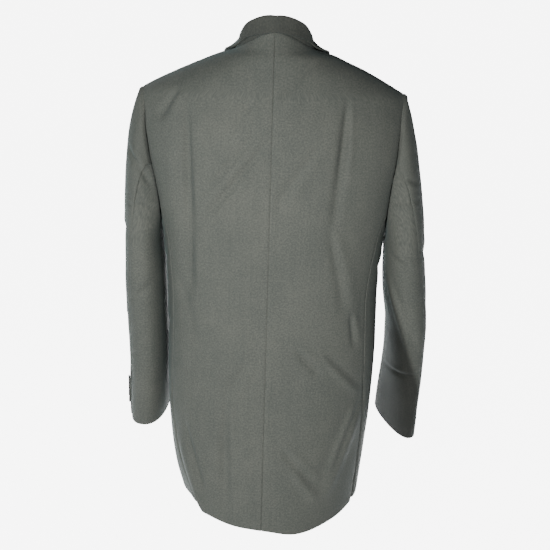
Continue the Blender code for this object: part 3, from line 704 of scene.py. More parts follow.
@dataclass
class NeckForm:
    """The neck edge, the roll lines and the turned-over collar and lapels along them."""

    body: BodyForm
    wall: float = 0.002
    seam_gap: float = 0.0003
    fold_radius: float = 0.003
    leaf_lift: float = 0.0048
    leaf_end: float = 6 / 11
    fold_end: float = 9 / 11
    notch_step: float = 2 / 6
    notch_share: float = 0.56
    lapel_tip: Pair = (0.137, -0.118)
    lapel_belly: float = 0.010
    right_lapel_z: float = -0.305
    right_edge_share: float = 0.15
    lapel_stand: float = 0.0045
    foot_drop: float = 0.007
    foot_depth: float = 0.0046
    foot_step: float = 0.004
    inner_seat: float = 0.0004
    ahead_step: float = 0.03
    ahead_start: float = 0.04
    roll_step: float = 0.004
    gorge_start: float = 0.85
    corner_start: float = 0.78
    notch_gap: float = 0.0018
    leaf_pull: float = 0.45
    rows: Rows = table(
        "t across forward up edge edge_z",
        (0.00, 0.0000, 0.0005, 0.0262, 0.0, -0.0020),
        (0.25, 0.0006, 0.0010, 0.0318, 40.0, -0.0095),
        (0.40, -0.0082, 0.0010, 0.0245, 63.2, -0.0190),
        (0.50, -0.0148, 0.0020, 0.0165, 82.0, -0.0320),
        (0.61, -0.0068, -0.0005, 0.0130, 118.0, -0.0400),
        (0.66, -0.0062, -0.0015, 0.0130, 126.5, -0.0460),
        (0.72, -0.0022, -0.0030, 0.0130, 133.5, -0.0535),
        (0.80, -0.0020, -0.0020, 0.0075, 137.2, -0.0625),
        (1.00, -0.0043, 0.0013, -0.0002, 139.5, -0.0775),
    )

    def __post_init__(self) -> None:
        """Makes the curves that the table stands for."""
        self.column = {name: Curve(self.rows, "t", name) for name in self.rows[0] if name != "t"}

    def neck_point(self, t: Array, side: Side) -> Array:
        """Points of the neck edge and, below the front neck, of the front edge.

        Args:
            t: Shares of the way from the centre back (0) to the gorge (1).
            side: The wearer's side.

        Returns:
            The points.
        """
        body = self.body
        angle = 180.0 * t
        rear_z = body.shoulder_neck_z * np.sin(np.radians(np.minimum(angle, 90.0))) ** 2
        rear = body.point(side.value * np.minimum(angle, 90.0), rear_z)
        share = np.clip((t - 0.5) / (body.neck_end - 0.5), 0.0, 1.0)
        z = mix(body.shoulder_neck_z, body.front_neck_z, share**3)
        end = float(body.front_edge_angle(np.array(body.front_neck_z), side))
        fore = body.front_point(mix(90.0, end, share), z, side)
        down = np.clip((t - body.neck_end) / (1.0 - body.neck_end), 0.0, 1.0)
        low_z = mix(body.front_neck_z, body.gorge_z, down)
        low = body.front_point(body.front_edge_angle(low_z, side), low_z, side)
        return np.where((t <= 0.5)[..., None], rear, np.where((t <= body.neck_end)[..., None], fore, low))

    def fold_point(self, t: Array, side: Side) -> Array:
        """Points of the collar's fold line."""
        shift = stack(side.value * self.column["across"](t), -self.column["forward"](t), self.column["up"](t))
        return self.neck_point(t, side) + shift

    def lapel_foot(self, side: Side) -> float:
        """Height on the roll line where the lapel starts: the right one starts above the overlap."""
        return self.body.break_z + self.foot_step if side is Side.LEFT else self.right_lapel_z

    def roll_point(self, v: Array, side: Side) -> Array:
        """Points of the roll line from the bottom of the lapel (v 0) to the gorge (v 1)."""
        z = mix(self.lapel_foot(side), self.body.gorge_z - 2 * self.seam_gap, v)
        return self.body.front_point(self.body.front_edge_angle(z, side), z, side)

    def roll_frame(self, v: Array, side: Side) -> tuple[Array, Array, Array]:
        """Points of the roll line and the directions across it.

        Args:
            v: Shares of the way from the bottom of the lapel (0) to the gorge (1).
            side: The wearer's side.

        Returns:
            The points, their outward directions and their rising directions.
        """
        here = self.roll_point(v, side)
        ahead = self.roll_point(v + self.roll_step, side) - self.roll_point(v - self.roll_step, side)
        outward = self.body.outside_by(here)[1]
        return here, outward, unit(np.cross(outward, ahead)) * side.value

    def turned_section(
        self,
        edge: Array,
        outward: Array,
        rise: Array,
        stand: Array,
        leaf: Callable[[Array, Array, Array], Array],
        w: Array,
    ) -> Array:
        """The visible face of a turned-over band.

        Args:
            edge: Points of the seam that it is sewn to.
            outward: Direction away from the wearer at each point.
            rise: Direction across the seam, up the stand.
            stand: Width of the stand.
            leaf: Points of the leaf from the fold's outer side, the way down, and a share from its edge.
            w: Shares from the leaf's edge (0) over the fold down to the seam (1).

        Returns:
            The points of the band.
        """
        inner = -self.wall + self.inner_seat
        foot = edge - rise * self.foot_drop - outward * self.foot_depth
        middle = edge + rise * (stand - self.fold_radius)[..., None] + outward * (inner + self.fold_radius)
        outer = middle + outward * self.fold_radius
        above, straight_out = self.body.outside_by(outer)
        push = straight_out * np.maximum(self.leaf_lift - above, 0.0)[..., None]
        middle, outer = middle + push, outer + push
        flat = leaf(outer, -rise, np.clip(w / self.leaf_end, 0.0, 1.0)[..., None])
        turn = math.pi * np.clip((w - self.leaf_end) / (self.fold_end - self.leaf_end), 0.0, 1.0)[..., None]
        fold = middle + (outward * np.cos(turn) + rise * np.sin(turn)) * self.fold_radius
        down = np.clip((w - self.fold_end) / (1.0 - self.fold_end), 0.0, 1.0)[..., None]
        inside = mix(middle - outward * self.fold_radius, foot, down)
        turned = np.where((w <= self.fold_end)[..., None], fold, inside)
        return np.where((w <= self.leaf_end)[..., None], flat, turned)

    def notch_point(self, side: Side) -> Array:
        """The collar's corner at the notch, a little above the lapel's seam.

        Args:
            side: The wearer's side.

        Returns:
            The point.
        """
        gorge_z = self.body.gorge_z
        x = mix(float(self.body.front_edge_x(np.array(gorge_z))), self.lapel_tip[0], self.notch_share)
        z = mix(gorge_z, self.lapel_tip[1], self.notch_share) + self.notch_gap
        return self.body.front_spot(np.array(x), np.array(z), side, self.leaf_lift)

    def half_collar(self, t: Array, v: Array, side: Side) -> Array:
        """Points of one half of the collar.

        Args:
            t: Shares of the way from the centre back (0) to the gorge (1).
            v: Shares from the leaf's edge (0) over the fold down to the seam (1).
            side: The wearer's side.

        Returns:
            The points.
        """
        edge, fold = self.neck_point(t, side), self.fold_point(t, side)
        before, after = np.maximum(t - self.ahead_step, 0.0), np.minimum(t + self.ahead_step, 1.0)
        step = self.fold_point(after, side) - self.fold_point(before, side)
        ahead = np.where((t > self.ahead_start)[..., None], step, np.array([float(side.value), 0.0, 0.0]))
        stand = np.linalg.norm(fold - edge, axis=-1)
        near_gorge = ease((t - self.gorge_start) / (1.0 - self.gorge_start))[..., None]
        rise = unit(mix(unit(fold - edge), self.roll_frame(np.array(1.0), side)[2], near_gorge))
        outward = unit(np.cross(rise, ahead)) * side.value
        tip = self.body.point(side.value * self.column["edge"](t), self.column["edge_z"](t), self.leaf_lift)
        notch = self.notch_point(side)
        cornered = ease((t - self.corner_start) / (1.0 - self.corner_start))[..., None]

        def leaf(outer: Array, down: Array, s: Array) -> Array:
            """Leaf of the collar: a soft curve behind, and a straight notched end in front.

            Args:
                outer: Points of the fold's outer side.
                down: The way down from it.
                s: Shares from the leaf's edge (0) to the fold (1).

            Returns:
                The points.
            """
            control = outer + down * np.linalg.norm(tip - outer, axis=-1, keepdims=True) * self.leaf_pull
            free = tip * (1 - s) ** 2 + control * (2 * s * (1 - s)) + outer * s * s
            edge_end = mix(tip, notch, s / self.notch_step)
            seam_end = mix(notch, outer, (s - self.notch_step) / (1 - self.notch_step))
            end = np.where(s < self.notch_step, edge_end, seam_end)
            return self.body.floated(mix(free, end, cornered), self.leaf_lift)

        return self.turned_section(edge, outward, rise, stand, leaf, v)

    def collar(self, u: Array, v: Array) -> Array:
        """Points of the whole collar.

        Args:
            u: Shares from its left front end (0) round the neck to its right one (1).
            v: Shares from the leaf's edge (0) over the fold down to the seam (1).

        Returns:
            The points.
        """
        t = np.clip(np.abs(1.0 - 2.0 * u), 0.0, 1.0)
        left, right = self.half_collar(t, v, Side.LEFT), self.half_collar(t, v, Side.RIGHT)
        return np.where((u < 0.5)[..., None], left, right)

    def lapel(self, side: Side, u: Array, v: Array) -> Array:
        """Points of a lapel.

        Args:
            side: The wearer's side.
            u: Shares from its outer edge (0) over the fold to the roll line (1).
            v: Shares up from its bottom (0) to the gorge (1).

        Returns:
            The points.
        """
        edge, outward, rise = self.roll_frame(v, side)
        share = v if side is Side.LEFT else mix(self.right_edge_share, 1.0, v)
        x = mix(self.foot_step - self.body.overlap, self.lapel_tip[0], share)
        x = x + self.lapel_belly * np.sin(np.pi * share)
        z = mix(self.body.break_z + self.foot_step, self.lapel_tip[1], share)
        tip = self.body.front_spot(x, z, side, self.leaf_lift)

        def leaf(outer: Array, down: Array, s: Array) -> Array:
            """Leaf points straight from the outer edge to the fold."""
            return self.body.floated(mix(tip, outer, s), self.leaf_lift)

        return self.turned_section(edge, outward, rise, np.full(v.shape, self.lapel_stand), leaf, u)


# ---------------------------------------------------------------- materials


class Value:
    """A socket of a shader tree that can be used in Python expressions on numbers."""

    def __init__(self, nodes: "Nodes", socket: bpy.types.NodeSocket) -> None:
        """Wraps a socket.

        Args:
            nodes: The tree that the socket is in.
            socket: The output socket.
        """
        self.nodes = nodes
        self.socket = socket

    def _math(self, operation: str, *values: object) -> "Value":
        """A Math node on the values."""
        inputs = {index: value for index, value in enumerate(values)}
        return self.nodes.add("ShaderNodeMath", {"operation": operation}, inputs)

    def __add__(self, other: object) -> "Value":
        """Sum."""
        return self._math("ADD", self, other)

    def __radd__(self, other: object) -> "Value":
        """Sum with the number first."""
        return self._math("ADD", other, self)

    def __sub__(self, other: object) -> "Value":
        """Difference."""
        return self._math("SUBTRACT", self, other)

    def __rsub__(self, other: object) -> "Value":
        """Difference with the number first."""
        return self._math("SUBTRACT", other, self)

    def __mul__(self, other: object) -> "Value":
        """Product."""
        return self._math("MULTIPLY", self, other)

    def __rmul__(self, other: object) -> "Value":
        """Product with the number first."""
        return self._math("MULTIPLY", other, self)

    def __truediv__(self, other: object) -> "Value":
        """Quotient."""
        return self._math("DIVIDE", self, other)

    def sine(self) -> "Value":
        """Sine of the value in radians."""
        return self._math("SINE", self)

    def ramp(self, low: float, high: float) -> "Value":
        """0 at low and 1 at high, smooth and clamped in between."""
        inputs = {"Value": self, "From Min": low, "From Max": high}
        return self.nodes.add("ShaderNodeMapRange", {"interpolation_type": "SMOOTHSTEP"}, inputs)


class Nodes:
    """A material's shader tree, built one call a node."""

    def __init__(self, name: str) -> None:
        """Starts a material with its Principled shader.

        Args:
            name: The material's name.
        """
        self.material = bpy.data.materials.new(name)
        self.material.use_nodes = True
        self.tree = self.material.node_tree
        self.surface = self.tree.nodes["Principled BSDF"]

    def add(
        self, kind: str, settings: dict | None = None, inputs: dict | None = None, output: object = 0
    ) -> Value:
        """Adds a node.

        Args:
            kind: The node's type name.
            settings: Its properties, set before its inputs.
            inputs: Values or links of its input sockets, by name or number.
            output: Name or number of the output that is wanted.

        Returns:
            The wanted output.
        """
        node = self.tree.nodes.new(kind)
        for name, value in (settings or {}).items():
            setattr(node, name, value)
        for name, value in (inputs or {}).items():
            self.feed(node.inputs[name], value)
        return Value(self, node.outputs[output])

    def feed(self, socket: bpy.types.NodeSocket, value: object) -> None:
        """Links a value to a socket, or sets the socket to it.

        Args:
            socket: The input socket.
            value: An output of a node, or a number, vector or colour.
        """
        if isinstance(value, Value):
            self.tree.links.new(value.socket, socket)
        else:
            socket.default_value = value

    def place(self) -> Value:
        """Object coordinates."""
        return self.add("ShaderNodeTexCoord", output="Object")

    def grain(self) -> Value:
        """The piece's own map, in metres along and across its cloth."""
        return self.add("ShaderNodeUVMap", {"uv_map": "grain"}, output="UV")

    def noise(self, at: Value, scale: float, detail: float = 2.0, stretch: Triple = (1.0, 1.0, 1.0)) -> Value:
        """Noise about 0.5.

        Args:
            at: The coordinates, in metres.
            scale: Waves a metre.
            detail: How many finer layers it has.
            stretch: Factors on the coordinates, small along the axis that it is drawn out along.

        Returns:
            The noise.
        """
        stretched = self.add("ShaderNodeMapping", inputs={"Vector": at, "Scale": tuple(stretch)})
        inputs = {"Vector": stretched, "Scale": scale, "Detail": detail}
        return self.add("ShaderNodeTexNoise", inputs=inputs, output="Fac")

    def split(self, vector: Value) -> tuple[Value, Value, Value]:
        """The x, y and z of a vector.

        Args:
            vector: The vector.

        Returns:
            Its three parts.
        """
        node = self.tree.nodes.new("ShaderNodeSeparateXYZ")
        self.feed(node.inputs[0], vector)
        return tuple(Value(self, socket) for socket in node.outputs)

    def blend(self, share: object, a: object, b: object) -> Value:
        """Mix of two colours.

        Args:
            share: Share of the second one.
            a: The first colour.
            b: The second colour.

        Returns:
            The mixed colour.
        """
        node = self.tree.nodes.new("ShaderNodeMix")
        node.data_type = "RGBA"
        self.feed(node.inputs[0], share)
        for socket, value in ((node.inputs[6], a), (node.inputs[7], b)):
            self.feed(socket, (*value, 1.0) if isinstance(value, tuple) else value)
        return Value(self, node.outputs[2])

    def bump(self, height: Value, strength: float, distance: float, under: Value | None = None) -> Value:
        """A Bump node.

        Args:
            height: The relief, from 0 to 1.
            strength: How strongly it shows.
            distance: Height in metres that 1 stands for.
            under: Another Bump node that it lies on.

        Returns:
            The bent normal.
        """
        inputs = {"Height": height, "Strength": strength, "Distance": distance}
        if under is not None:
            inputs["Normal"] = under
        return self.add("ShaderNodeBump", inputs=inputs)

    def finish(self, **sockets: object) -> bpy.types.Material:
        """Feeds the Principled shader and gives the material.

        Args:
            sockets: Values by socket name, with _ for a space.

        Returns:
            The material.
        """
        for name, value in sockets.items():
            self.feed(self.surface.inputs[name.replace("_", " ")], value)
        return self.material


@dataclass(frozen=True)
class WorstedWool:
    """Plain dark worsted: a fine twill with mixed fibres, a soft nap and a faint sheen."""

    name: str = "worsted_wool"
    dark: Triple = (0.055, 0.063, 0.059)
    light: Triple = (0.102, 0.107, 0.096)
    fleck: Triple = (0.24, 0.24, 0.22)
    twill_pitch: float = 0.0011
    roughness: float = 0.82
    # shade, shade_way and shade_span paint shade into the colour: below 1, shade darkens the colour where the
    # place along shade_way passes shade_span.
    shade: float = 1.0
    shade_way: Triple = (0.0, 1.0, 0.0)
    shade_span: Pair = (-0.02, 0.07)
    tone_span: Pair = (0.35, 0.68)
    fleck_span: Pair = (0.74, 0.80)
    fleck_share: float = 0.35
    diagonal: float = 0.9
    yarn_turns: float = 1.37
    sheen: float = 0.05
    specular: float = 0.22

    def material(self) -> bpy.types.Material:
        """Builds the material.

        Returns:
            The cloth's material.
        """
        nodes = Nodes(self.name)
        grain, place = nodes.grain(), nodes.place()
        across, along, _ = nodes.split(grain)
        turns = 2.0 * math.pi / self.twill_pitch
        wobble = nodes.noise(grain, scale=900.0, detail=1.0)
        twill = ((across + along * self.diagonal) * turns + wobble * 3.0).sine() * 0.5 + 0.5
        yarns = (across * (turns * self.yarn_turns)).sine() * 0.5 + 0.5
        fibres = nodes.noise(grain, scale=1500.0, detail=3.0, stretch=(1.0, 0.35, 1.0))
        streaks = nodes.noise(grain, scale=160.0, detail=3.0, stretch=(1.0, 0.06, 1.0))
        mottle = nodes.noise(grain, scale=330.0, detail=1.0)
        cloudy = nodes.noise(place, scale=9.0, detail=3.0)
        patches = nodes.noise(place, scale=38.0, detail=2.0)
        tone = fibres * 0.27 + mottle * 0.34 + streaks * 0.07 + cloudy * 0.15 + patches * 0.09 + twill * 0.08
        colour = nodes.blend(tone.ramp(*self.tone_span), self.dark, self.light)
        # Painted shade: a darker copy of the colour is blended in where the place along shade_way passes
        # shade_span.
        if self.shade < 1.0:
            dark, light = self._shaded(self.dark), self._shaded(self.light)
            turned = nodes.blend(tone.ramp(*self.tone_span), dark, light)
            way = [part * share for part, share in zip(nodes.split(place), self.shade_way)]
            colour = nodes.blend((way[0] + way[1] + way[2]).ramp(*self.shade_span), colour, turned)
        flecks = nodes.noise(grain, scale=2600.0, detail=1.0).ramp(*self.fleck_span) * self.fleck_share
        colour = nodes.blend(flecks, colour, self.fleck)
        threads = twill * 0.65 + yarns * 0.15 + fibres * 0.5
        weave = nodes.bump(threads, strength=0.30, distance=0.00035)
        nap = nodes.bump(patches * 0.7 + streaks * 0.3, strength=0.18, distance=0.0010, under=weave)
        return nodes.finish(
            Base_Color=colour,
            Roughness=fibres * 0.10 + (self.roughness - 0.05),
            Normal=nap,
            Sheen_Weight=self.sheen,
            Sheen_Roughness=0.4,
            Sheen_Tint=(0.50, 0.82, 0.88, 1.0),
            Specular_IOR_Level=self.specular,
        )

    def _shaded(self, colour: Triple) -> Triple:
        """A colour darkened by the factor of painted shade."""
        return tuple(part * self.shade for part in colour)


@dataclass(frozen=True)
class HornButton:
    """Dark mottled button horn with a satin polish and fine turning marks."""

    name: str = "button_horn"
    dark: Triple = (0.012, 0.014, 0.014)
    light: Triple = (0.060, 0.058, 0.050)

    def material(self) -> bpy.types.Material:
        """Builds the material.

        Returns:
            The button's material.
        """
        nodes = Nodes(self.name)
        place = nodes.place()
        clouds = nodes.noise(place, scale=210.0, detail=4.0, stretch=(1.0, 1.0, 0.45))
        streaks = nodes.noise(place, scale=700.0, detail=2.0, stretch=(0.3, 1.0, 1.0))
        colour = nodes.blend((clouds * 0.7 + streaks * 0.3).ramp(0.42, 0.68), self.dark, self.light)
        marks = nodes.bump(nodes.noise(place, scale=2500.0, detail=2.0), strength=0.12, distance=0.0002)
        rough = streaks * 0.15 + 0.24
        return nodes.finish(Base_Color=colour, Roughness=rough, Normal=marks, Coat_Weight=0.25)


@dataclass(frozen=True)
class SewingThread:
    """Dark twisted thread."""

    name: str = "sewing_thread"
    dark: Triple = (0.016, 0.018, 0.017)
    light: Triple = (0.050, 0.052, 0.048)
    ply_turns: float = 9000.0

    def material(self) -> bpy.types.Material:
        """Builds the material.

        Returns:
            The thread's material.
        """
        nodes = Nodes(self.name)
        place = nodes.place()
        x, y, z = nodes.split(place)
        twist = ((x + y + z) * self.ply_turns).sine() * 0.5 + 0.5
        colour = nodes.blend(twist * 0.6 + nodes.noise(place, scale=1800.0) * 0.4, self.dark, self.light)
        relief = nodes.bump(twist, strength=0.4, distance=0.0002)
        return nodes.finish(Base_Color=colour, Roughness=0.7, Normal=relief)


# ---------------------------------------------------------------- pieces in general


def add_object(
    name: str, shape: bmesh.types.BMesh, look: bpy.types.Material, smooth: bool = True
) -> bpy.types.Object:
    """Turns a shape into an object of the scene.

    Args:
        name: The object's name.
        shape: The shape, which is freed.
        look: Its material.
        smooth: True where its faces are shaded smooth.

    Returns:
        The object.
    """
    mesh = bpy.data.meshes.new(name)
    shape.to_mesh(mesh)
    shape.free()
    if smooth:
        mesh.shade_smooth()
    mesh.materials.append(look)
    made = bpy.data.objects.new(name, mesh)
    bpy.context.scene.collection.objects.link(made)
    return made


# ---------------------------------------------------------------- cloth pieces


@dataclass(frozen=True)
class Crease:
    """A soft crease, a trough or a ridge with a softer wave of the other kind beside it.

    Its ends are places across and up on the side of the garment that it faces. It starts and stops a little
    past them, fades in and out over a share of its length, and widens on its way.
    """

    start: Pair
    end: Pair
    width: float
    depth: float
    facing: Facing = Facing.BACK
    bow: float = 0.0
    beside: float = 0.45
    past: float = 0.08
    fades: Pair = (0.34, 0.42)
    widths: Pair = (0.72, 1.28)
    lip_place: float = 1.8
    lip_width: float = 1.2
    seen_share: float = 0.5

    def height(self, places: Array, outward: Array) -> Array:
        """Height of the crease above the cloth.

        Args:
            places: Points of the cloth.
            outward: Its outward directions.

        Returns:
            The heights, in metres.
        """
        run = np.array(self.end) - np.array(self.start)
        length = np.linalg.norm(run)
        off_x, off_z = places[..., self.facing.across] - self.start[0], places[..., 2] - self.start[1]
        along = (off_x * run[0] + off_z * run[1]) / length**2
        inside = np.clip(along, 0.0, 1.0)
        aside = (off_x * run[1] - off_z * run[0]) / length - self.bow * 4.0 * inside * (1.0 - inside)
        taper = ease((along + self.past) / self.fades[0]) * ease((1.0 + self.past - along) / self.fades[1])
        wide = self.width * mix(*self.widths, inside)
        middle = np.exp(-((aside / wide) ** 2))
        lip = np.exp(-(((aside - self.lip_place * wide) / (self.lip_width * wide)) ** 2))
        seen = ease((outward @ np.array(self.facing.value)) / self.seen_share)
        return self.depth * taper * seen * (middle - self.beside * lip)


@dataclass
class ClothPiece:
    """One piece of cloth: a fine grid on its form, with its edges, creases, wall and map."""

    name: str
    form: Form
    cells: tuple[int, int]
    span: Pair
    flip: int
    cut: Triple
    rests_on: Sequence[str]
    left: Edge = Edge.SEAM
    right: Edge = Edge.SEAM
    bottom: Edge = Edge.TURNED
    top: Edge = Edge.SEAM
    creases: Sequence[Crease] = ()
    chart: Form | None = None
    wall: float = 0.0019
    seam_drop: float = 0.0012
    seam_width: float = 0.0011
    tuck: float = 0.0010
    ripple: float = 0.00050
    vent_z: float = -0.634
    vent_lap: float = 0.0
    head_rise: float = 0.0
    head_width: float = 0.009
    soften_rounds: int = 0
    soften_z: float = -0.106
    soften_width: float = 0.034
    soften_share: float = 0.5
    soften_columns: float = 12.0
    vent_fade: float = 0.012
    calm_share: float = 0.55
    calm_width: float = 0.020
    pucker_height: float = 0.00016
    pucker_place: float = 0.007
    pucker_width: float = 0.004
    head_fade: Pair = (0.02, 0.14)
    rim_width: float = 0.0005
    rim_angle: float = 55.0

    def build(self, finish: bpy.types.Material) -> bpy.types.Object:
        """Args:
            finish: The cloth's material.

        Returns:
            The piece's object.
        """
        columns, rows = self.cells
        grid = bmesh.new()
        bmesh.ops.create_grid(grid, x_segments=columns, y_segments=rows, size=1.0)
        if self.flip < 0:
            bmesh.ops.reverse_faces(grid, faces=grid.faces[:])
        piece = add_object(self.name + "_cloth", grid, finish)
        mesh = piece.data
        flat_places = np.empty(len(mesh.vertices) * 3)
        mesh.vertices.foreach_get("co", flat_places)
        shape = (rows + 1, columns + 1)
        u = spread((flat_places[0::3].reshape(shape) + 1.0) / 2.0, columns, self.span[0])
        v = spread((flat_places[1::3].reshape(shape) + 1.0) / 2.0, rows, self.span[1])
        bare = self._smoothed(self.form(u, v))
        outward = self._normals(bare)
        places = self._tucked(bare + outward * self._relief(bare, outward)[..., None])
        mesh.vertices.foreach_set("co", places.reshape(-1))
        self._map(mesh, self._chart_of(bare) if self.chart is None else self.chart(u, v))
        mesh.update()
        self._thicken(piece)
        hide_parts(self.name)
        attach(piece, "root")
        LOG.info("%s: %d cells, %s", piece.name, columns * rows, self.measure(bare))
        return piece

    def measure(self, places: Array) -> str:
        """Size of the cloth as it hangs, for the log.

        Args:
            places: The grid of its points.

        Returns:
            Its width, length and area in words.
        """
        across = np.diff(places, axis=1)
        up = np.diff(places, axis=0)
        area = np.linalg.norm(np.cross(across[:-1], up[:, :-1]), axis=-1).sum()
        width = np.linalg.norm(across, axis=-1).sum(axis=1).max()
        length = np.linalg.norm(up, axis=-1).sum(axis=0).max()
        return f"width {width:.3f}, length {length:.3f}, area {area:.4f}"

    def _smoothed(self, places: Array) -> Array:
        """Averages the points with those above and below, most of all across the shoulder blades.

        Args:
            places: The grid of points.

        Returns:
            The softened grid.
        """
        places = places.copy()
        for _ in range(self.soften_rounds):
            middle = places[1:-1]
            near = np.exp(-(((middle[..., 2:] - self.soften_z) / self.soften_width) ** 2))
            share = self.soften_share * near * self._off_sides(middle)
            places[1:-1] = mix(middle, (places[:-2] + places[2:]) / 2.0, share)
        return places

    def _off_sides(self, places: Array) -> Array:
        """Weights of the columns of a grid.

        Args:
            places: The grid of points.

        Returns:
            0 on the first and last column and 1 a little away from them.
        """
        count = places.shape[1]
        from_side = np.minimum(np.arange(count), np.arange(count)[::-1])
        return ease(from_side / self.soften_columns)[None, :, None]

    def _tucked(self, places: Array) -> Array:
        """Pushes each sewn edge a little past its seam, under the cloth beside it.

        Args:
            places: The grid of points.

        Returns:
            The grid with its sewn edges moved.
        """
        places = places.copy()
        turned = np.moveaxis(places, 1, 0)
        edges = {"left": turned, "right": turned[::-1], "bottom": places, "top": places[::-1]}
        for name, rows in edges.items():
            kind = getattr(self, name)
            if kind in (Edge.SEAM, Edge.VENTED):
                past = unit(rows[0] - rows[2]) * self.tuck
                if kind is Edge.VENTED:
                    past *= self._above_vent(rows[0])[:, None]
                rows[0] += past
        return places

    def _above_vent(self, places: Array) -> Array:
        """1 above the vent and 0 below its top."""
        return ease((places[..., 2] - self.vent_z) / self.vent_fade)

    def _normals(self, places: Array) -> Array:
        """Outward directions of a grid of points."""
        across, up = np.gradient(places, axis=1), np.gradient(places, axis=0)
        return unit(np.cross(across, up)) * self.flip

    def _gaps(self, places: Array) -> dict[str, Array]:
        """Distances from the edges along the cloth.

        Args:
            places: The grid of points.

        Returns:
            The distance of each point by the name of the edge.
        """
        across = np.linalg.norm(np.diff(places, axis=1), axis=-1)
        up = np.linalg.norm(np.diff(places, axis=0), axis=-1)
        from_left = np.concatenate([np.zeros((len(places), 1)), np.cumsum(across, axis=1)], axis=1)
        from_bottom = np.concatenate([np.zeros((1, places.shape[1])), np.cumsum(up, axis=0)], axis=0)
        return {
            "left": from_left,
            "right": from_left[:, -1:] - from_left,
            "bottom": from_bottom,
            "top": from_bottom[-1:] - from_bottom,
        }

    def _relief(self, places: Array, outward: Array) -> Array:
        """Height of creases, ripples and rolled seams above the form.

        Args:
            places: The grid of points.
            outward: Their outward directions.

        Returns:
            The heights.
        """
        height = self.ripple * self._ripples(places)
        for crease in self.creases:
            height += crease.height(places, outward)
        uneven = np.sin(places[..., 2] * 290.0 + 2.0 * np.sin(places[..., 0] * 120.0))
        pucker = self.pucker_height * (1.0 + 0.9 * uneven)
        gaps = self._gaps(places)
        for name, gap in gaps.items():
            kind = getattr(self, name)
            sewn = np.ones(gap.shape) if kind is Edge.SEAM else np.zeros(gap.shape)
            if kind is Edge.VENTED:
                sewn = self._above_vent(places)
                height += self.vent_lap * (1.0 - sewn) * np.exp(-gap / self.vent_fade)
            height *= 1.0 - self.calm_share * sewn * (1.0 - ease(gap / self.calm_width))
            height -= self.seam_drop * sewn * np.exp(-((gap / self.seam_width) ** 2))
            height += pucker * sewn * np.exp(-(((gap - self.pucker_place) / self.pucker_width) ** 2))
        head, (start, run) = gaps["top"], self.head_fade
        height += self.head_rise * ease(head / self.head_width) * (1.0 - ease((head - start) / run))
        return height

    def _ripples(self, places: Array) -> Array:
        """Slow uneven waves of soft cloth.

        Args:
            places: The grid of points.

        Returns:
            The height of the waves at each point, about one high.
        """
        x, y, z = places[..., 0], places[..., 1], places[..., 2]
        return (
            np.sin(38.0 * x + 9.0 * z + 3.0 * np.sin(11.0 * z))
            + 0.8 * np.sin(23.0 * y - 31.0 * z + 2.0 * np.sin(17.0 * x))
            + 0.6 * np.sin(71.0 * x - 19.0 * y + 14.0 * z)
            + 0.4 * np.sin(95.0 * z + 47.0 * x)
        ) / 1.6

    def _chart_of(self, places: Array) -> Array:
        """A flat map of the points.

        Args:
            places: The grid of points.

        Returns:
            Metres across from the middle column, and up along it.
        """
        gaps = self._gaps(places)
        middle = places.shape[1] // 2
        run = gaps["left"] - gaps["left"][:, middle : middle + 1]
        return stack(run, gaps["bottom"][:, middle : middle + 1])

    @staticmethod
    def _map(mesh: bpy.types.Mesh, flat: Array) -> None:
        """Gives the mesh its flat map.

        Args:
            mesh: The mesh.
            flat: Metres across and up for each of its vertices.
        """
        corners = np.empty(len(mesh.loops), dtype=np.int32)
        mesh.loops.foreach_get("vertex_index", corners)
        layer = mesh.uv_layers.new(name="grain")
        layer.data.foreach_set("uv", flat.reshape(-1, 2)[corners].reshape(-1))

    def _thicken(self, piece: bpy.types.Object) -> None:
        """Gives the cloth its wall on the inner side, and rounds its edges.

        Args:
            piece: The piece's object.
        """
        wall = piece.modifiers.new("wall", "SOLIDIFY")
        wall.thickness = self.wall
        wall.offset = -1.0
        rim = piece.modifiers.new("rim", "BEVEL")
        rim.width = self.rim_width
        rim.segments = 2
        rim.limit_method = "ANGLE"
        rim.angle_limit = math.radians(self.rim_angle)


# ---------------------------------------------------------------- the garment


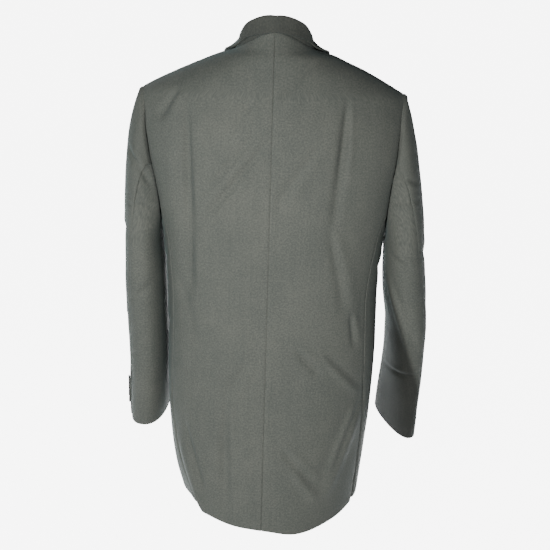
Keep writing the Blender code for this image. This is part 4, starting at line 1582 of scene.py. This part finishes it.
@dataclass
class BodyPanels:
    """Back, side panels and fronts: the cloth round the body."""

    form: BodyForm
    creases: Sequence[Crease] = (
        Crease((0.1410, -0.1136), (0.1326, -0.3418), 0.0065, -0.0042),
        Crease((0.1323, -0.3320), (0.1346, -0.4625), 0.0080, -0.0030),
        Crease((0.0019, -0.1646), (0.1285, -0.3235), 0.0060, -0.0042, bow=0.003),
        Crease((0.0216, -0.1514), (0.1240, -0.2728), 0.0060, -0.0030, bow=0.002),
        Crease((0.0309, -0.1053), (0.0669, -0.1562), 0.0055, -0.0022),
        Crease((-0.0698, -0.0412), (-0.0078, -0.1082), 0.0065, -0.0026),
        Crease((-0.0827, -0.1743), (-0.0041, -0.2942), 0.0080, -0.0026, bow=-0.006),
        Crease((0.1582, -0.0934), (0.1906, -0.1486), 0.0065, -0.0040),
        Crease((-0.1222, -0.1017), (-0.1122, -0.2452), 0.0055, -0.0040, bow=0.001),
        Crease((-0.0984, -0.3172), (-0.1321, -0.4777), 0.0085, -0.0034, bow=0.003),
        Crease((-0.0505, -0.5276), (-0.0982, -0.5748), 0.0060, -0.0045),
        Crease((-0.0915, -0.5344), (-0.1670, -0.6201), 0.0060, 0.0034),
        Crease((-0.1427, -0.4678), (-0.1534, -0.5305), 0.0050, -0.0036),
        Crease((-0.1609, -0.6262), (-0.1082, -0.7758), 0.0060, 0.0040, bow=-0.002),
        Crease((-0.0268, -0.6994), (-0.0939, -0.7804), 0.0065, -0.0040),
        Crease((0.0302, -0.5527), (0.0683, -0.6156), 0.0075, -0.0034, bow=-0.002),
        Crease((0.0677, -0.5973), (0.0659, -0.8130), 0.0070, -0.0034),
        Crease((0.1417, -0.6724), (0.1017, -0.8146), 0.0060, -0.0036),
        Crease((0.1574, -0.4118), (0.1225, -0.5354), 0.0090, -0.0030, bow=0.004),
        Crease((0.0500, -0.4550), (0.1500, -0.5200), 0.012, -0.0034, Facing.FRONT, 0.005),
        Crease((-0.0450, -0.4600), (-0.1450, -0.5350), 0.011, -0.0036, Facing.FRONT, -0.004),
        Crease((0.0350, -0.5700), (0.1300, -0.6350), 0.011, -0.0026, Facing.FRONT, 0.003),
        Crease((-0.1300, -0.2700), (-0.1000, -0.3900), 0.010, -0.0030, Facing.FRONT, 0.002),
        Crease((0.1350, -0.2500), (0.1080, -0.4000), 0.012, -0.0028, Facing.FRONT, -0.003),
        Crease((-0.0800, -0.6200), (-0.1200, -0.8200), 0.014, 0.0036, Facing.FRONT),
        Crease((0.1050, -0.6400), (0.1180, -0.8200), 0.016, 0.0032, Facing.FRONT),
        Crease((0.0500, -0.3700), (-0.0400, -0.4600), 0.010, -0.0030, Facing.LEFT, 0.003),
        Crease((0.0400, -0.5000), (-0.0500, -0.5500), 0.012, -0.0026, Facing.LEFT, -0.003),
        Crease((0.0450, -0.3800), (-0.0500, -0.4500), 0.012, -0.0028, Facing.RIGHT, -0.003),
        Crease((0.0200, -0.5500), (-0.0600, -0.6300), 0.011, -0.0028, Facing.RIGHT, 0.004),
    )
    back_cut: Triple = (0.26, 0.90, 0.176)
    side_cut: Triple = (0.19, 0.57, 0.074)
    front_cut: Triple = (0.25, 0.88, 0.166)
    blade_rounds: int = 160
    lap_radius: float = 0.155
    lap_run: float = 0.030
    tuck_angle: float = 5.0
    tuck_fade: float = 4.4
    tuck_rise: float = 0.044
    tuck_run: float = 0.040
    seam_sink: float = 0.0025
    seam_sink_angle: float = 6.0

    def back(self, side: Side) -> ClothPiece:
        """Half of the back, from the centre seam to the side, up from the hem to the neck.

        Args:
            side: The wearer's side.

        Returns:
            The piece.
        """
        form = self.form
        hem_angle = form.hem_angle(side)

        def spot(u: Array, v: Array) -> tuple[Array, Array]:
            """Places on the form.

            Args:
                u: Shares across.
                v: Shares up.

            Returns:
                Their angle and their height.
            """
            edge, edge_z = form.panel_edge(v, side, rear=True)
            low = form.hem_height(side.value * u * hem_angle)
            high = form.shoulder_neck_z * np.sin(np.radians(90.0 * u)) ** 2
            z = form.row_height(v, edge_z, low, high)
            edge = np.where(v <= form.seam_rows, form.seam[side](z), edge)
            return side.value * edge * u, z

        return ClothPiece(
            f"back_{side.word}",
            lambda u, v: form.point(*spot(u, v)),
            chart=lambda u, v: form.chart(*spot(u, v), 0.0),
            cells=(84, 240),
            span=(0.20, 0.84),
            soften_rounds=self.blade_rounds,
            flip=-side.value,
            cut=self.back_cut,
            rests_on=[f"front_{side.word}_cloth"],
            right=Edge.VENTED,
            creases=self.creases,
        )

    def side_panel(self, side: Side) -> ClothPiece:
        """The side panel, with its underlap behind the back vent, up from the hem to the armhole.

        Args:
            side: The wearer's side.

        Returns:
            The piece.
        """
        form = self.form
        hem_angle = form.hem_angle(side)
        join_angle, join_z = (float(value) for value in form.armhole(form.back_join))
        front_top = float(form.armhole(form.front_join)[0])

        def spot(u: Array, v: Array) -> tuple[Array, Array, Array]:
            """Places on the form.

            Args:
                u: Shares across.
                v: Shares up.

            Returns:
                Their angle, their height and how far they lift.
            """
            top_angle, top = form.armhole(mix(form.back_join, form.front_join, u))
            share = (top_angle - join_angle) / (front_top - join_angle)
            z = mix(form.hem_height(side.value * mix(hem_angle, form.front_seam, share)), top, v)
            rear = np.where(z < join_z, form.seam[side](z), join_angle)
            lap = np.degrees(form.underlap / self.lap_radius) * ease((form.vent_top_z - z) / self.lap_run)
            angle = mix(rear - lap, form.front_seam, share)
            below = ease((form.vent_top_z + self.tuck_rise - z) / self.tuck_run)
            under = form.layer_step * below * ease((rear + self.tuck_angle - angle) / self.tuck_fade)
            sink = self.seam_sink * ease((rear - angle) / self.seam_sink_angle)
            return side.value * angle, z, -(under + np.where(angle < 90.0, sink, 0.0))

        return ClothPiece(
            f"side_{side.word}",
            lambda u, v: form.point(*spot(u, v)),
            chart=lambda u, v: form.chart(*spot(u, v)[:2], side.value * 90.0),
            cells=(56, 150),
            span=(0.13, 0.54),
            flip=-side.value,
            cut=self.side_cut,
            rests_on=[f"back_{side.word}_cloth", f"front_{side.word}_cloth"],
            left=Edge.VENTED,
            creases=self.creases,
        )

    def front(self, side: Side) -> ClothPiece:
        """One front, from the front seam to the front edge, up from the hem to the shoulder seam.

        Args:
            side: The wearer's side.

        Returns:
            The piece.
        """
        form = self.form

        def height(u: Array, v: Array) -> Array:
            """Heights at shares across and up.

            Args:
                u: Shares across.
                v: Shares up.

            Returns:
                The heights, which rise towards the rounded corner.
            """
            corner = np.clip((u - (1.0 - form.corner_share)) / form.corner_share, 0.0, 1.0)
            low = form.hem_height(side.value * mix(form.front_seam, 180.0, u))
            low = low + form.corner_rise * (1.0 - np.sqrt(1.0 - corner**2))
            high = mix(form.shoulder_neck_z, form.front_neck_z, u**3)
            return form.row_height(v, form.panel_edge(v, side, rear=False)[1], low, high)

        def spot(u: Array, v: Array) -> tuple[Array, Array]:
            """Places on the form.

            Args:
                u: Shares across.
                v: Shares up.

            Returns:
                Their angle and their height.
            """
            seam = form.panel_edge(v, side, rear=False)[0]
            free = form.front_edge_angle(height(np.ones_like(u), v), side)
            return mix(seam, free, u), height(u, v)

        return ClothPiece(
            f"front_{side.word}",
            lambda u, v: form.front_point(*spot(u, v), side),
            chart=lambda u, v: form.chart(*spot(u, v), 180.0),
            cells=(76, 230),
            span=(0.20, 0.80),
            soften_rounds=self.blade_rounds,
            flip=-side.value,
            cut=self.front_cut,
            rests_on=[f"back_{side.word}_cloth"],
            right=Edge.TURNED,
            creases=self.creases,
        )

    def pieces(self) -> list[ClothPiece]:
        """All pieces of the body."""
        return [make(side) for side in Side for make in (self.back, self.side_panel, self.front)]


@dataclass
class Sleeve:
    """A two-piece sleeve with a short vent and four buttons above its cuff."""

    form: SleeveForm
    creases: Sequence[Crease]
    top_cut: Triple = (0.22, 0.63, 0.102)
    under_cut: Triple = (0.20, 0.54, 0.081)
    vent_length: float = 0.098
    button_rises: Sequence[float] = (0.028, 0.0435, 0.059, 0.0745)
    button_turn: float = 13.0
    button_probe: Pair = (2.0, 0.01)

    def piece(self, outer: bool) -> ClothPiece:
        """The top or the under piece, up from the cuff to the armhole.

        Args:
            outer: True for the top piece.

        Returns:
            The piece.
        """
        form, side = self.form, self.form.side

        def place(u: Array, v: Array) -> Array:
            """Points at shares across and up.

            Args:
                u: Shares across.
                v: Shares up.

            Returns:
                The points.
            """
            down = 1.0 - v
            elbow = form.elbow(down)
            fore = np.full_like(elbow, form.forearm_seam)
            first, last = (fore, elbow) if outer else (elbow, fore + 360.0)
            return form.point(form.turns(u, down, first, last), down)

        vent = {"right": Edge.VENTED} if outer else {"left": Edge.VENTED}
        return ClothPiece(
            f"{'top' if outer else 'under'}_sleeve_{side.word}",
            place,
            cells=(64, 170),
            span=(0.17, 0.60),
            flip=side.value,
            cut=self.top_cut if outer else self.under_cut,
            rests_on=[f"back_{side.word}_cloth", f"front_{side.word}_cloth"],
            creases=self.creases,
            vent_z=self.cuff_z() + self.vent_length,
            vent_lap=0.0008 if outer else -0.0014,
            seam_drop=0.0006,
            head_rise=form.head_rise if outer else 0.0,
            head_width=form.head_width,
            **vent,
        )

    def cuff_z(self) -> float:
        """Height of the cuff edge at the elbow seam."""
        return float(self.form.point(self.form.elbow(np.array(1.0)), np.array(1.0))[2])

    def button_spots(self) -> list[tuple[Vector, Vector]]:
        """Places of the cuff buttons, beside the elbow seam.

        Returns:
            The place and the outward direction of each button.
        """
        form = self.form
        v = np.linspace(0.5, 1.0, 801)
        along_seam = form.point(form.elbow(v), v)[:, 2]
        round_it, down_it = self.button_probe
        spots = []
        for rise in self.button_rises:
            at = np.interp(-(self.cuff_z() + rise), -along_seam, v)
            turn = form.elbow(at) - self.button_turn
            turns = np.array([turn, turn - round_it, turn + round_it, turn, turn])
            shares = np.array([at, at, at, at - down_it, at + down_it])
            spot, left, right, up, down = form.point(turns, shares)
            outward = unit(np.cross(right - left, down - up)) * -form.side.value
            spots.append((Vector(spot), Vector(outward)))
        return spots


@dataclass
class Neckwear:
    """The collar and the two lapels."""

    form: NeckForm
    collar_creases: Sequence[Crease] = (
        Crease((-0.0300, 0.0080), (0.0350, 0.0100), 0.006, -0.0006),
        Crease((0.0500, -0.0080), (0.0330, 0.0150), 0.007, -0.0007),
        Crease((-0.0560, -0.0100), (-0.0380, 0.0150), 0.007, -0.0008),
    )
    collar_cut: Triple = (0.48, 0.09, 0.029)
    lapel_cut: Triple = (0.12, 0.37, 0.027)
    fine_ripple: float = 0.00025
    double_wall: float = 0.0024

    def collar(self) -> ClothPiece:
        """The collar, from its left front end round the neck to its right one.

        Returns:
            The piece.
        """
        return ClothPiece(
            "collar",
            self.form.collar,
            cells=(220, 76),
            span=(0.42, 0.075),
            flip=1,
            cut=self.collar_cut,
            rests_on=["back_left_cloth", "back_right_cloth"],
            left=Edge.TURNED,
            right=Edge.TURNED,
            top=Edge.HIDDEN,
            creases=self.collar_creases,
            ripple=self.fine_ripple,
            wall=self.double_wall,
        )

    def lapel(self, side: Side) -> ClothPiece:
        """One lapel, from its outer edge over the fold to the roll line.

        Args:
            side: The wearer's side.

        Returns:
            The piece.
        """
        return ClothPiece(
            f"lapel_{side.word}",
            lambda u, v: self.form.lapel(side, u, v),
            cells=(70, 120),
            span=(0.08, 0.36),
            flip=-side.value,
            cut=self.lapel_cut,
            rests_on=[f"front_{side.word}_cloth"],
            left=Edge.TURNED,
            right=Edge.HIDDEN,
            top=Edge.TURNED,
            ripple=self.fine_ripple,
            wall=self.double_wall,
        )


# ---------------------------------------------------------------- buttons


@dataclass
class Button:
    """A round button with a raised rim, four holes and crossed thread.

    Places across are shares of its radius, and places up are shares of its height.
    """

    name: str
    spot: Vector
    outward: Vector
    radius: float
    height: float
    holes: int = 4
    sides: int = 40
    seat: float = 0.0006
    well: float = 0.66
    floor: float = 0.55
    hole_place: float = 0.26
    hole_radius: float = 0.095
    hole_sides: int = 10
    profile: Sequence[Pair] = (
        (0.76, 0.62),
        (0.84, 0.90),
        (0.90, 1.00),
        (0.96, 0.94),
        (1.00, 0.72),
        (0.98, 0.40),
        (0.90, 0.10),
        (0.80, 0.00),
    )
    sharp_angle: float = 40.0
    thread_radius: float = 0.00026
    thread_aside: float = 0.05
    thread_rises: Pair = (0.00010, 0.00022)
    stem: Triple = (0.0012, 0.0010, 0.0010)
    stem_drop: float = 0.0003

    def build(self, horn: bpy.types.Material, thread: bpy.types.Material) -> None:
        """Makes the button and its thread.

        Args:
            horn: The button's material.
            thread: The thread's material.
        """
        turn = self.outward.to_track_quat("Z", "Y").to_matrix().to_4x4()
        place = Matrix.Translation(self.spot + self.outward * self.seat) @ turn
        disc = self._piece("disc", self._disc(), place, horn)
        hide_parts(self.name)
        self._piece("thread", self._threads(), place, thread)

    def _piece(
        self, part: str, shape: bmesh.types.BMesh, place: Matrix, look: bpy.types.Material
    ) -> bpy.types.Object:
        """Finishes a shape as an object that rides on the garment.

        Args:
            part: Name of the part of the button.
            shape: Its shape, round the origin.
            place: Where it goes.
            look: Its material.

        Returns:
            The object.
        """
        bmesh.ops.recalc_face_normals(shape, faces=shape.faces[:])
        bmesh.ops.transform(shape, matrix=place, verts=shape.verts)
        piece = add_object(f"{self.name}_{part}", shape, look)
        piece.data.set_sharp_from_angle(angle=math.radians(self.sharp_angle))
        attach(piece, "root")
        return piece

    @staticmethod
    def _ring(shape: bmesh.types.BMesh, sides: int, radius: float, middle: Vector) -> list:
        """Adds a ring of edges.

        Args:
            shape: The shape.
            sides: How many edges it has.
            radius: Its radius.
            middle: Its middle.

        Returns:
            Its edges, in order.
        """
        place = Matrix.Translation(middle)
        made = bmesh.ops.create_circle(shape, segments=sides, radius=radius, matrix=place)
        return list(dict.fromkeys(edge for vert in made["verts"] for edge in vert.link_edges))

    def _disc(self) -> bmesh.types.BMesh:
        """The button: a well with holes, a rounded rim and a flat back.

        Returns:
            The shape.
        """
        r, h = self.radius, self.height
        shape = bmesh.new()
        floor = self.floor * h
        edges = self._ring(shape, self.sides, self.well * r, Vector((0.0, 0.0, floor)))
        hole_loops = []
        for number in range(self.holes):
            turn = Matrix.Rotation(math.radians(45 + 90 * number), 4, "Z")
            middle = turn @ Vector((self.hole_place * r, 0, floor))
            hole_loops.append(self._ring(shape, self.hole_sides, self.hole_radius * r, middle))
        bmesh.ops.triangle_fill(shape, use_beauty=True, edges=shape.edges[:])
        for loop in hole_loops:
            self._pull(shape, loop, 1.0, -floor)
        last, level = self.well, self.floor
        for share, rise in self.profile:
            edges = self._pull(shape, edges, share / last, (rise - level) * h)
            last, level = share, rise
        bottom = [edge for edge in shape.edges if edge.is_boundary]
        bmesh.ops.triangle_fill(shape, use_beauty=True, edges=bottom)
        return shape

    @staticmethod
    def _pull(shape: bmesh.types.BMesh, edges: list, scale: float, rise: float) -> list:
        """Extrudes a ring of edges.

        Args:
            shape: The shape.
            edges: The ring.
            scale: Factor on its width about the middle.
            rise: How far it moves up.

        Returns:
            The edges of the new ring.
        """
        made = bmesh.ops.extrude_edge_only(shape, edges=edges)["geom"]
        corners = [part for part in made if isinstance(part, bmesh.types.BMVert)]
        if scale != 1.0:
            bmesh.ops.scale(shape, vec=(scale, scale, 1.0), verts=corners)
        bmesh.ops.translate(shape, vec=(0.0, 0.0, rise), verts=corners)
        chosen = set(corners)
        sides = [part for part in made if isinstance(part, bmesh.types.BMEdge)]
        return [edge for edge in sides if chosen.issuperset(edge.verts)]

    def _threads(self) -> bmesh.types.BMesh:
        """Two bundles of thread from hole to hole, and the stem under the button.

        Returns:
            The shape.
        """
        shape = bmesh.new()
        lying = Matrix.Rotation(math.radians(90.0), 4, "Y")
        for quarter, rise in zip((45.0, 135.0), self.thread_rises):
            for offset in (-self.thread_aside, self.thread_aside):
                lay = Matrix.Rotation(math.radians(quarter), 4, "Z") @ lying
                side_turn = Matrix.Rotation(math.radians(quarter + 90.0), 4, "Z")
                aside = side_turn @ Vector((offset * self.radius, 0, 0))
                up = Vector((0.0, 0.0, self.floor * self.height + rise))
                bmesh.ops.create_cone(
                    shape,
                    cap_ends=True,
                    segments=8,
                    radius1=self.thread_radius,
                    radius2=self.thread_radius,
                    depth=2 * self.hole_place * self.radius,
                    matrix=Matrix.Translation(up + aside) @ lay,
                )
        foot, head, depth = self.stem
        bmesh.ops.create_cone(
            shape,
            cap_ends=True,
            segments=14,
            radius1=foot,
            radius2=head,
            depth=depth,
            matrix=Matrix.Translation((0, 0, -self.stem_drop)),
        )
        return shape


@dataclass
class Buttonhole:
    """A thread-wrapped slit that runs from its button towards the front edge."""

    name: str
    form: BodyForm
    z: float
    start_x: float = 0.0035
    length: float = 0.0245
    half_width: float = 0.0011
    cord: float = 0.00075
    around: int = 96
    across: int = 10
    wraps: float = 30.0
    wrap_swell: float = 0.10
    end_square: float = 0.8
    side_square: float = 0.35
    lift: float = 0.0003
    lift_share: float = 0.6

    def build(self, thread: bpy.types.Material) -> None:
        """Makes the wrapped edge of the slit.

        Args:
            thread: The thread's material.
        """
        shape = bmesh.new()
        bmesh.ops.create_grid(shape, x_segments=self.around, y_segments=self.across, size=1.0)
        for corner in shape.verts:
            corner.co = self._spot(math.pi * (corner.co.x + 1.0), math.pi * (corner.co.y + 1.0))
        bmesh.ops.remove_doubles(shape, verts=shape.verts[:], dist=1e-6)
        bmesh.ops.recalc_face_normals(shape, faces=shape.faces[:])
        piece = add_object(self.name, shape, thread)
        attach(piece, "root")

    def _spot(self, loop: float, turn: float) -> Vector:
        """A point of the wrapped edge.

        Args:
            loop: Angle in radians round the slit.
            turn: Angle in radians round the cord.

        Returns:
            The point.
        """
        wrap = self.cord * (1.0 + self.wrap_swell * math.cos(loop * self.wraps))
        end = math.copysign(abs(math.cos(loop)) ** self.end_square, math.cos(loop))
        edge = math.copysign(abs(math.sin(loop)) ** self.side_square, math.sin(loop))
        x = self.start_x - self.length / 2 + end * self.length / 2
        z = self.z + edge * self.half_width
        z += wrap * math.cos(turn) * math.copysign(1.0, math.sin(loop) + 1e-9)
        lift = self.lift + wrap * self.lift_share * math.sin(turn)
        return Vector(self.form.front_spot(np.array(x), np.array(z), Side.LEFT, lift))


# ---------------------------------------------------------------- studio


@dataclass(frozen=True)
class SoftLight:
    """A soft rectangular light: its name, place, size, power in watts and colour."""

    name: str
    place: Triple
    size: Pair
    power: float
    colour: Triple


@dataclass
class Studio:
    """Pale floor, soft lights and the camera at the photograph's angle."""

    camera_place: Triple = (-0.0111, 1.9, 0.08)
    aim_z: float = -0.4288
    roll: float = 1.6757
    lens: float = 71.79
    floor_z: float = -1.45
    floor_glow: float = 7.0
    floor_dark: float = 0.06
    floor_size: float = 400.0
    sensor_width: float = 36.0
    world_light: float = 0.12
    lights: Sequence[SoftLight] = (
        SoftLight("key", (0.34, 1.65, -0.02), (0.35, 0.35), 41.0, (1.0, 0.98, 0.93)),
        SoftLight("left_side", (2.2, 0.6, -0.2), (0.7, 1.2), 6.0, (0.70, 0.93, 1.0)),
        SoftLight("front_fill", (1.5, -2.2, 0.6), (0.7, 0.7), 17.0, (1.0, 0.99, 0.96)),
    )

    def build(self) -> None:
        """Sets up the floor, the lights, the world and the camera."""
        self._floor()
        for light in self.lights:
            self._light(light)
        self._world()
        self._camera()

    def _floor(self) -> None:
        """A very large pale floor well below the hem.

        It glows beyond the garment, as a lit paper sweep does, in a wedge that the camera looks along.
        """
        shape = bmesh.new()
        bmesh.ops.create_grid(shape, x_segments=2, y_segments=2, size=self.floor_size)
        bmesh.ops.translate(shape, vec=(0.0, 0.0, self.floor_z), verts=shape.verts)
        nodes = Nodes("pale_floor")
        across, depth, _ = nodes.split(nodes.place())
        reach = depth * -0.30 + 0.85
        beside = ((across * across) / (reach * reach)).ramp(1.0, 2.6)
        lit = (depth * -1.0).ramp(-0.1, 0.7) * (1.0 - beside)
        look = nodes.finish(
            Base_Color=(0.88, 0.88, 0.88, 1.0),
            Roughness=0.9,
            Emission_Color=nodes.blend(lit, (self.floor_dark,) * 3, (1.0, 1.0, 1.0)),
            Emission_Strength=self.floor_glow,
        )
        add_object("floor", shape, look, smooth=False)

    def _light(self, light: SoftLight) -> None:
        """Sets up a light that is aimed at the middle of the garment.

        Args:
            light: The light.
        """
        data = bpy.data.lights.new(light.name, "AREA")
        data.shape = "RECTANGLE"
        data.size, data.size_y = light.size
        data.energy = light.power
        data.color = light.colour
        lamp = bpy.data.objects.new(light.name, data)
        bpy.context.scene.collection.objects.link(lamp)
        away = Vector(light.place) - Vector((0.0, 0.0, self.aim_z))
        turn = away.to_track_quat("Z", "Y").to_matrix().to_4x4()
        lamp.matrix_world = Matrix.Translation(light.place) @ turn

    def _world(self) -> None:
        """Even white surroundings."""
        world = bpy.data.worlds.new("studio")
        bpy.context.scene.world = world
        world.use_nodes = True
        background = world.node_tree.nodes["Background"]
        background.inputs["Color"].default_value = (1.0, 1.0, 1.0, 1.0)
        background.inputs["Strength"].default_value = self.world_light

    def _camera(self) -> None:
        """The photograph's camera, fitted to the garment's outline and rolled a little."""
        data = bpy.data.cameras.new("camera")
        data.sensor_fit = "HORIZONTAL"
        data.sensor_width = self.sensor_width
        data.lens = self.lens
        camera = bpy.data.objects.new("camera", data)
        bpy.context.scene.collection.objects.link(camera)
        look = Vector((self.camera_place[0], 0.0, self.aim_z)) - Vector(self.camera_place)
        level = look.to_track_quat("-Z", "Y").to_matrix().to_4x4()
        rolled = level @ Matrix.Rotation(math.radians(self.roll), 4, "Z")
        camera.matrix_world = Matrix.Translation(self.camera_place) @ rolled
        bpy.context.scene.camera = camera


# ---------------------------------------------------------------- the whole


LEFT_SLEEVE_CREASES = (
    Crease((0.2466, -0.1939), (0.1980, -0.2673), 0.0050, -0.0036),
    Crease((0.2456, -0.2928), (0.1946, -0.2948), 0.0045, -0.0028),
    Crease((0.2425, -0.4686), (0.1968, -0.4271), 0.0060, -0.0026),
    Crease((0.2454, -0.5718), (0.2074, -0.5611), 0.0060, -0.0020),
    Crease((-0.0500, -0.3000), (-0.0660, -0.6000), 0.018, 0.0062, Facing.RIGHT, beside=0.0),
    Crease((0.0450, -0.3300), (-0.0350, -0.3900), 0.009, -0.0030, Facing.LEFT, 0.003),
    Crease((-0.0500, -0.4200), (0.0200, -0.4550), 0.008, -0.0026, Facing.LEFT, -0.002),
    Crease((0.0300, -0.5000), (-0.0450, -0.5500), 0.008, -0.0024, Facing.LEFT),
    Crease((0.2060, -0.3000), (0.2420, -0.3250), 0.008, -0.0026, Facing.FRONT),
    Crease((0.2450, -0.4100), (0.2100, -0.4400), 0.007, -0.0030, Facing.FRONT),
    Crease((0.2080, -0.4550), (0.2400, -0.4700), 0.006, -0.0024, Facing.FRONT),
)
RIGHT_SLEEVE_CREASES = (
    Crease((-0.2515, -0.2471), (-0.2012, -0.2247), 0.0050, -0.0028),
    Crease((-0.2549, -0.2745), (-0.2024, -0.2761), 0.0045, -0.0030),
    Crease((-0.2050, -0.3675), (-0.2464, -0.3966), 0.0050, -0.0034),
    Crease((-0.2032, -0.4064), (-0.2646, -0.5805), 0.0055, 0.0040),
    Crease((-0.2114, -0.6015), (-0.2732, -0.5958), 0.0045, -0.0034),
    Crease((-0.2341, -0.4600), (-0.2689, -0.4497), 0.0050, -0.0020),
    Crease((0.0500, -0.3500), (-0.0300, -0.4050), 0.009, -0.0030, Facing.RIGHT, -0.003),
    Crease((-0.0450, -0.4350), (0.0300, -0.4700), 0.008, -0.0026, Facing.RIGHT, 0.002),
    Crease((0.0200, -0.5700), (-0.0550, -0.6100), 0.008, -0.0024, Facing.RIGHT),
    Crease((-0.2150, -0.3100), (-0.2550, -0.3300), 0.008, -0.0026, Facing.FRONT),
    Crease((-0.2600, -0.4200), (-0.2200, -0.4550), 0.007, -0.0030, Facing.FRONT),
)


@dataclass
class Blazer:
    """The whole garment."""

    body: BodyForm = field(default_factory=BodyForm)
    button_heights: Sequence[float] = (-0.455, -0.565)
    front_button: Pair = (0.0100, 0.0034)
    cuff_button: Pair = (0.0072, 0.0030)

    def build(self) -> None:
        """Builds every piece, in the order that a tailor joins them."""
        wool = WorstedWool().material()
        # Painted shade on the right under sleeve: its colour darkens to 0.26 of itself below a slanted line
        # on the lower forearm, towards the body.
        forearm_wool_painted_shade = WorstedWool(
            "forearm_wool_painted_shade", shade=0.26, shade_way=(0.942, 0.0, -0.334), shade_span=(-0.062, -0.046)
        ).material()
        horn, thread = HornButton().material(), SewingThread().material()
        for piece in BodyPanels(self.body).pieces():
            piece.build(wool)
        for side, creases in ((Side.LEFT, LEFT_SLEEVE_CREASES), (Side.RIGHT, RIGHT_SLEEVE_CREASES)):
            sleeve = Sleeve(SleeveForm(side, self.body), creases)
            sleeve.piece(outer=True).build(wool)
            sleeve.piece(outer=False).build(forearm_wool_painted_shade if side is Side.RIGHT else wool)
            for number, (spot, outward) in enumerate(sleeve.button_spots(), start=1):
                button = Button(f"cuff_button_{side.word}_{number}", spot, outward, *self.cuff_button)
                button.build(horn, thread)
        neck = Neckwear(NeckForm(self.body))
        # Painted shade on the collar: its colour darkens to half towards the back of the neck.
        neck.collar().build(WorstedWool("collar_wool_painted_shade", shade=0.50).material())
        for side in Side:
            neck.lapel(side).build(wool)
        forward = Vector((0.0, -1.0, 0.0))
        for number, z in enumerate(self.button_heights, start=1):
            spot = Vector(self.body.front_point(np.array(180.0), np.array(z), Side.LEFT))
            Button(f"front_button_{number}", spot, forward, *self.front_button).build(horn, thread)
            Buttonhole(f"buttonhole_{number}", self.body, z).build(thread)


def main() -> None:
    """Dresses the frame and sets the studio."""
    logging.basicConfig(level=logging.INFO, format="%(message)s")
    Blazer().build()
    Studio().build()


if __name__ == "__main__":
    main()
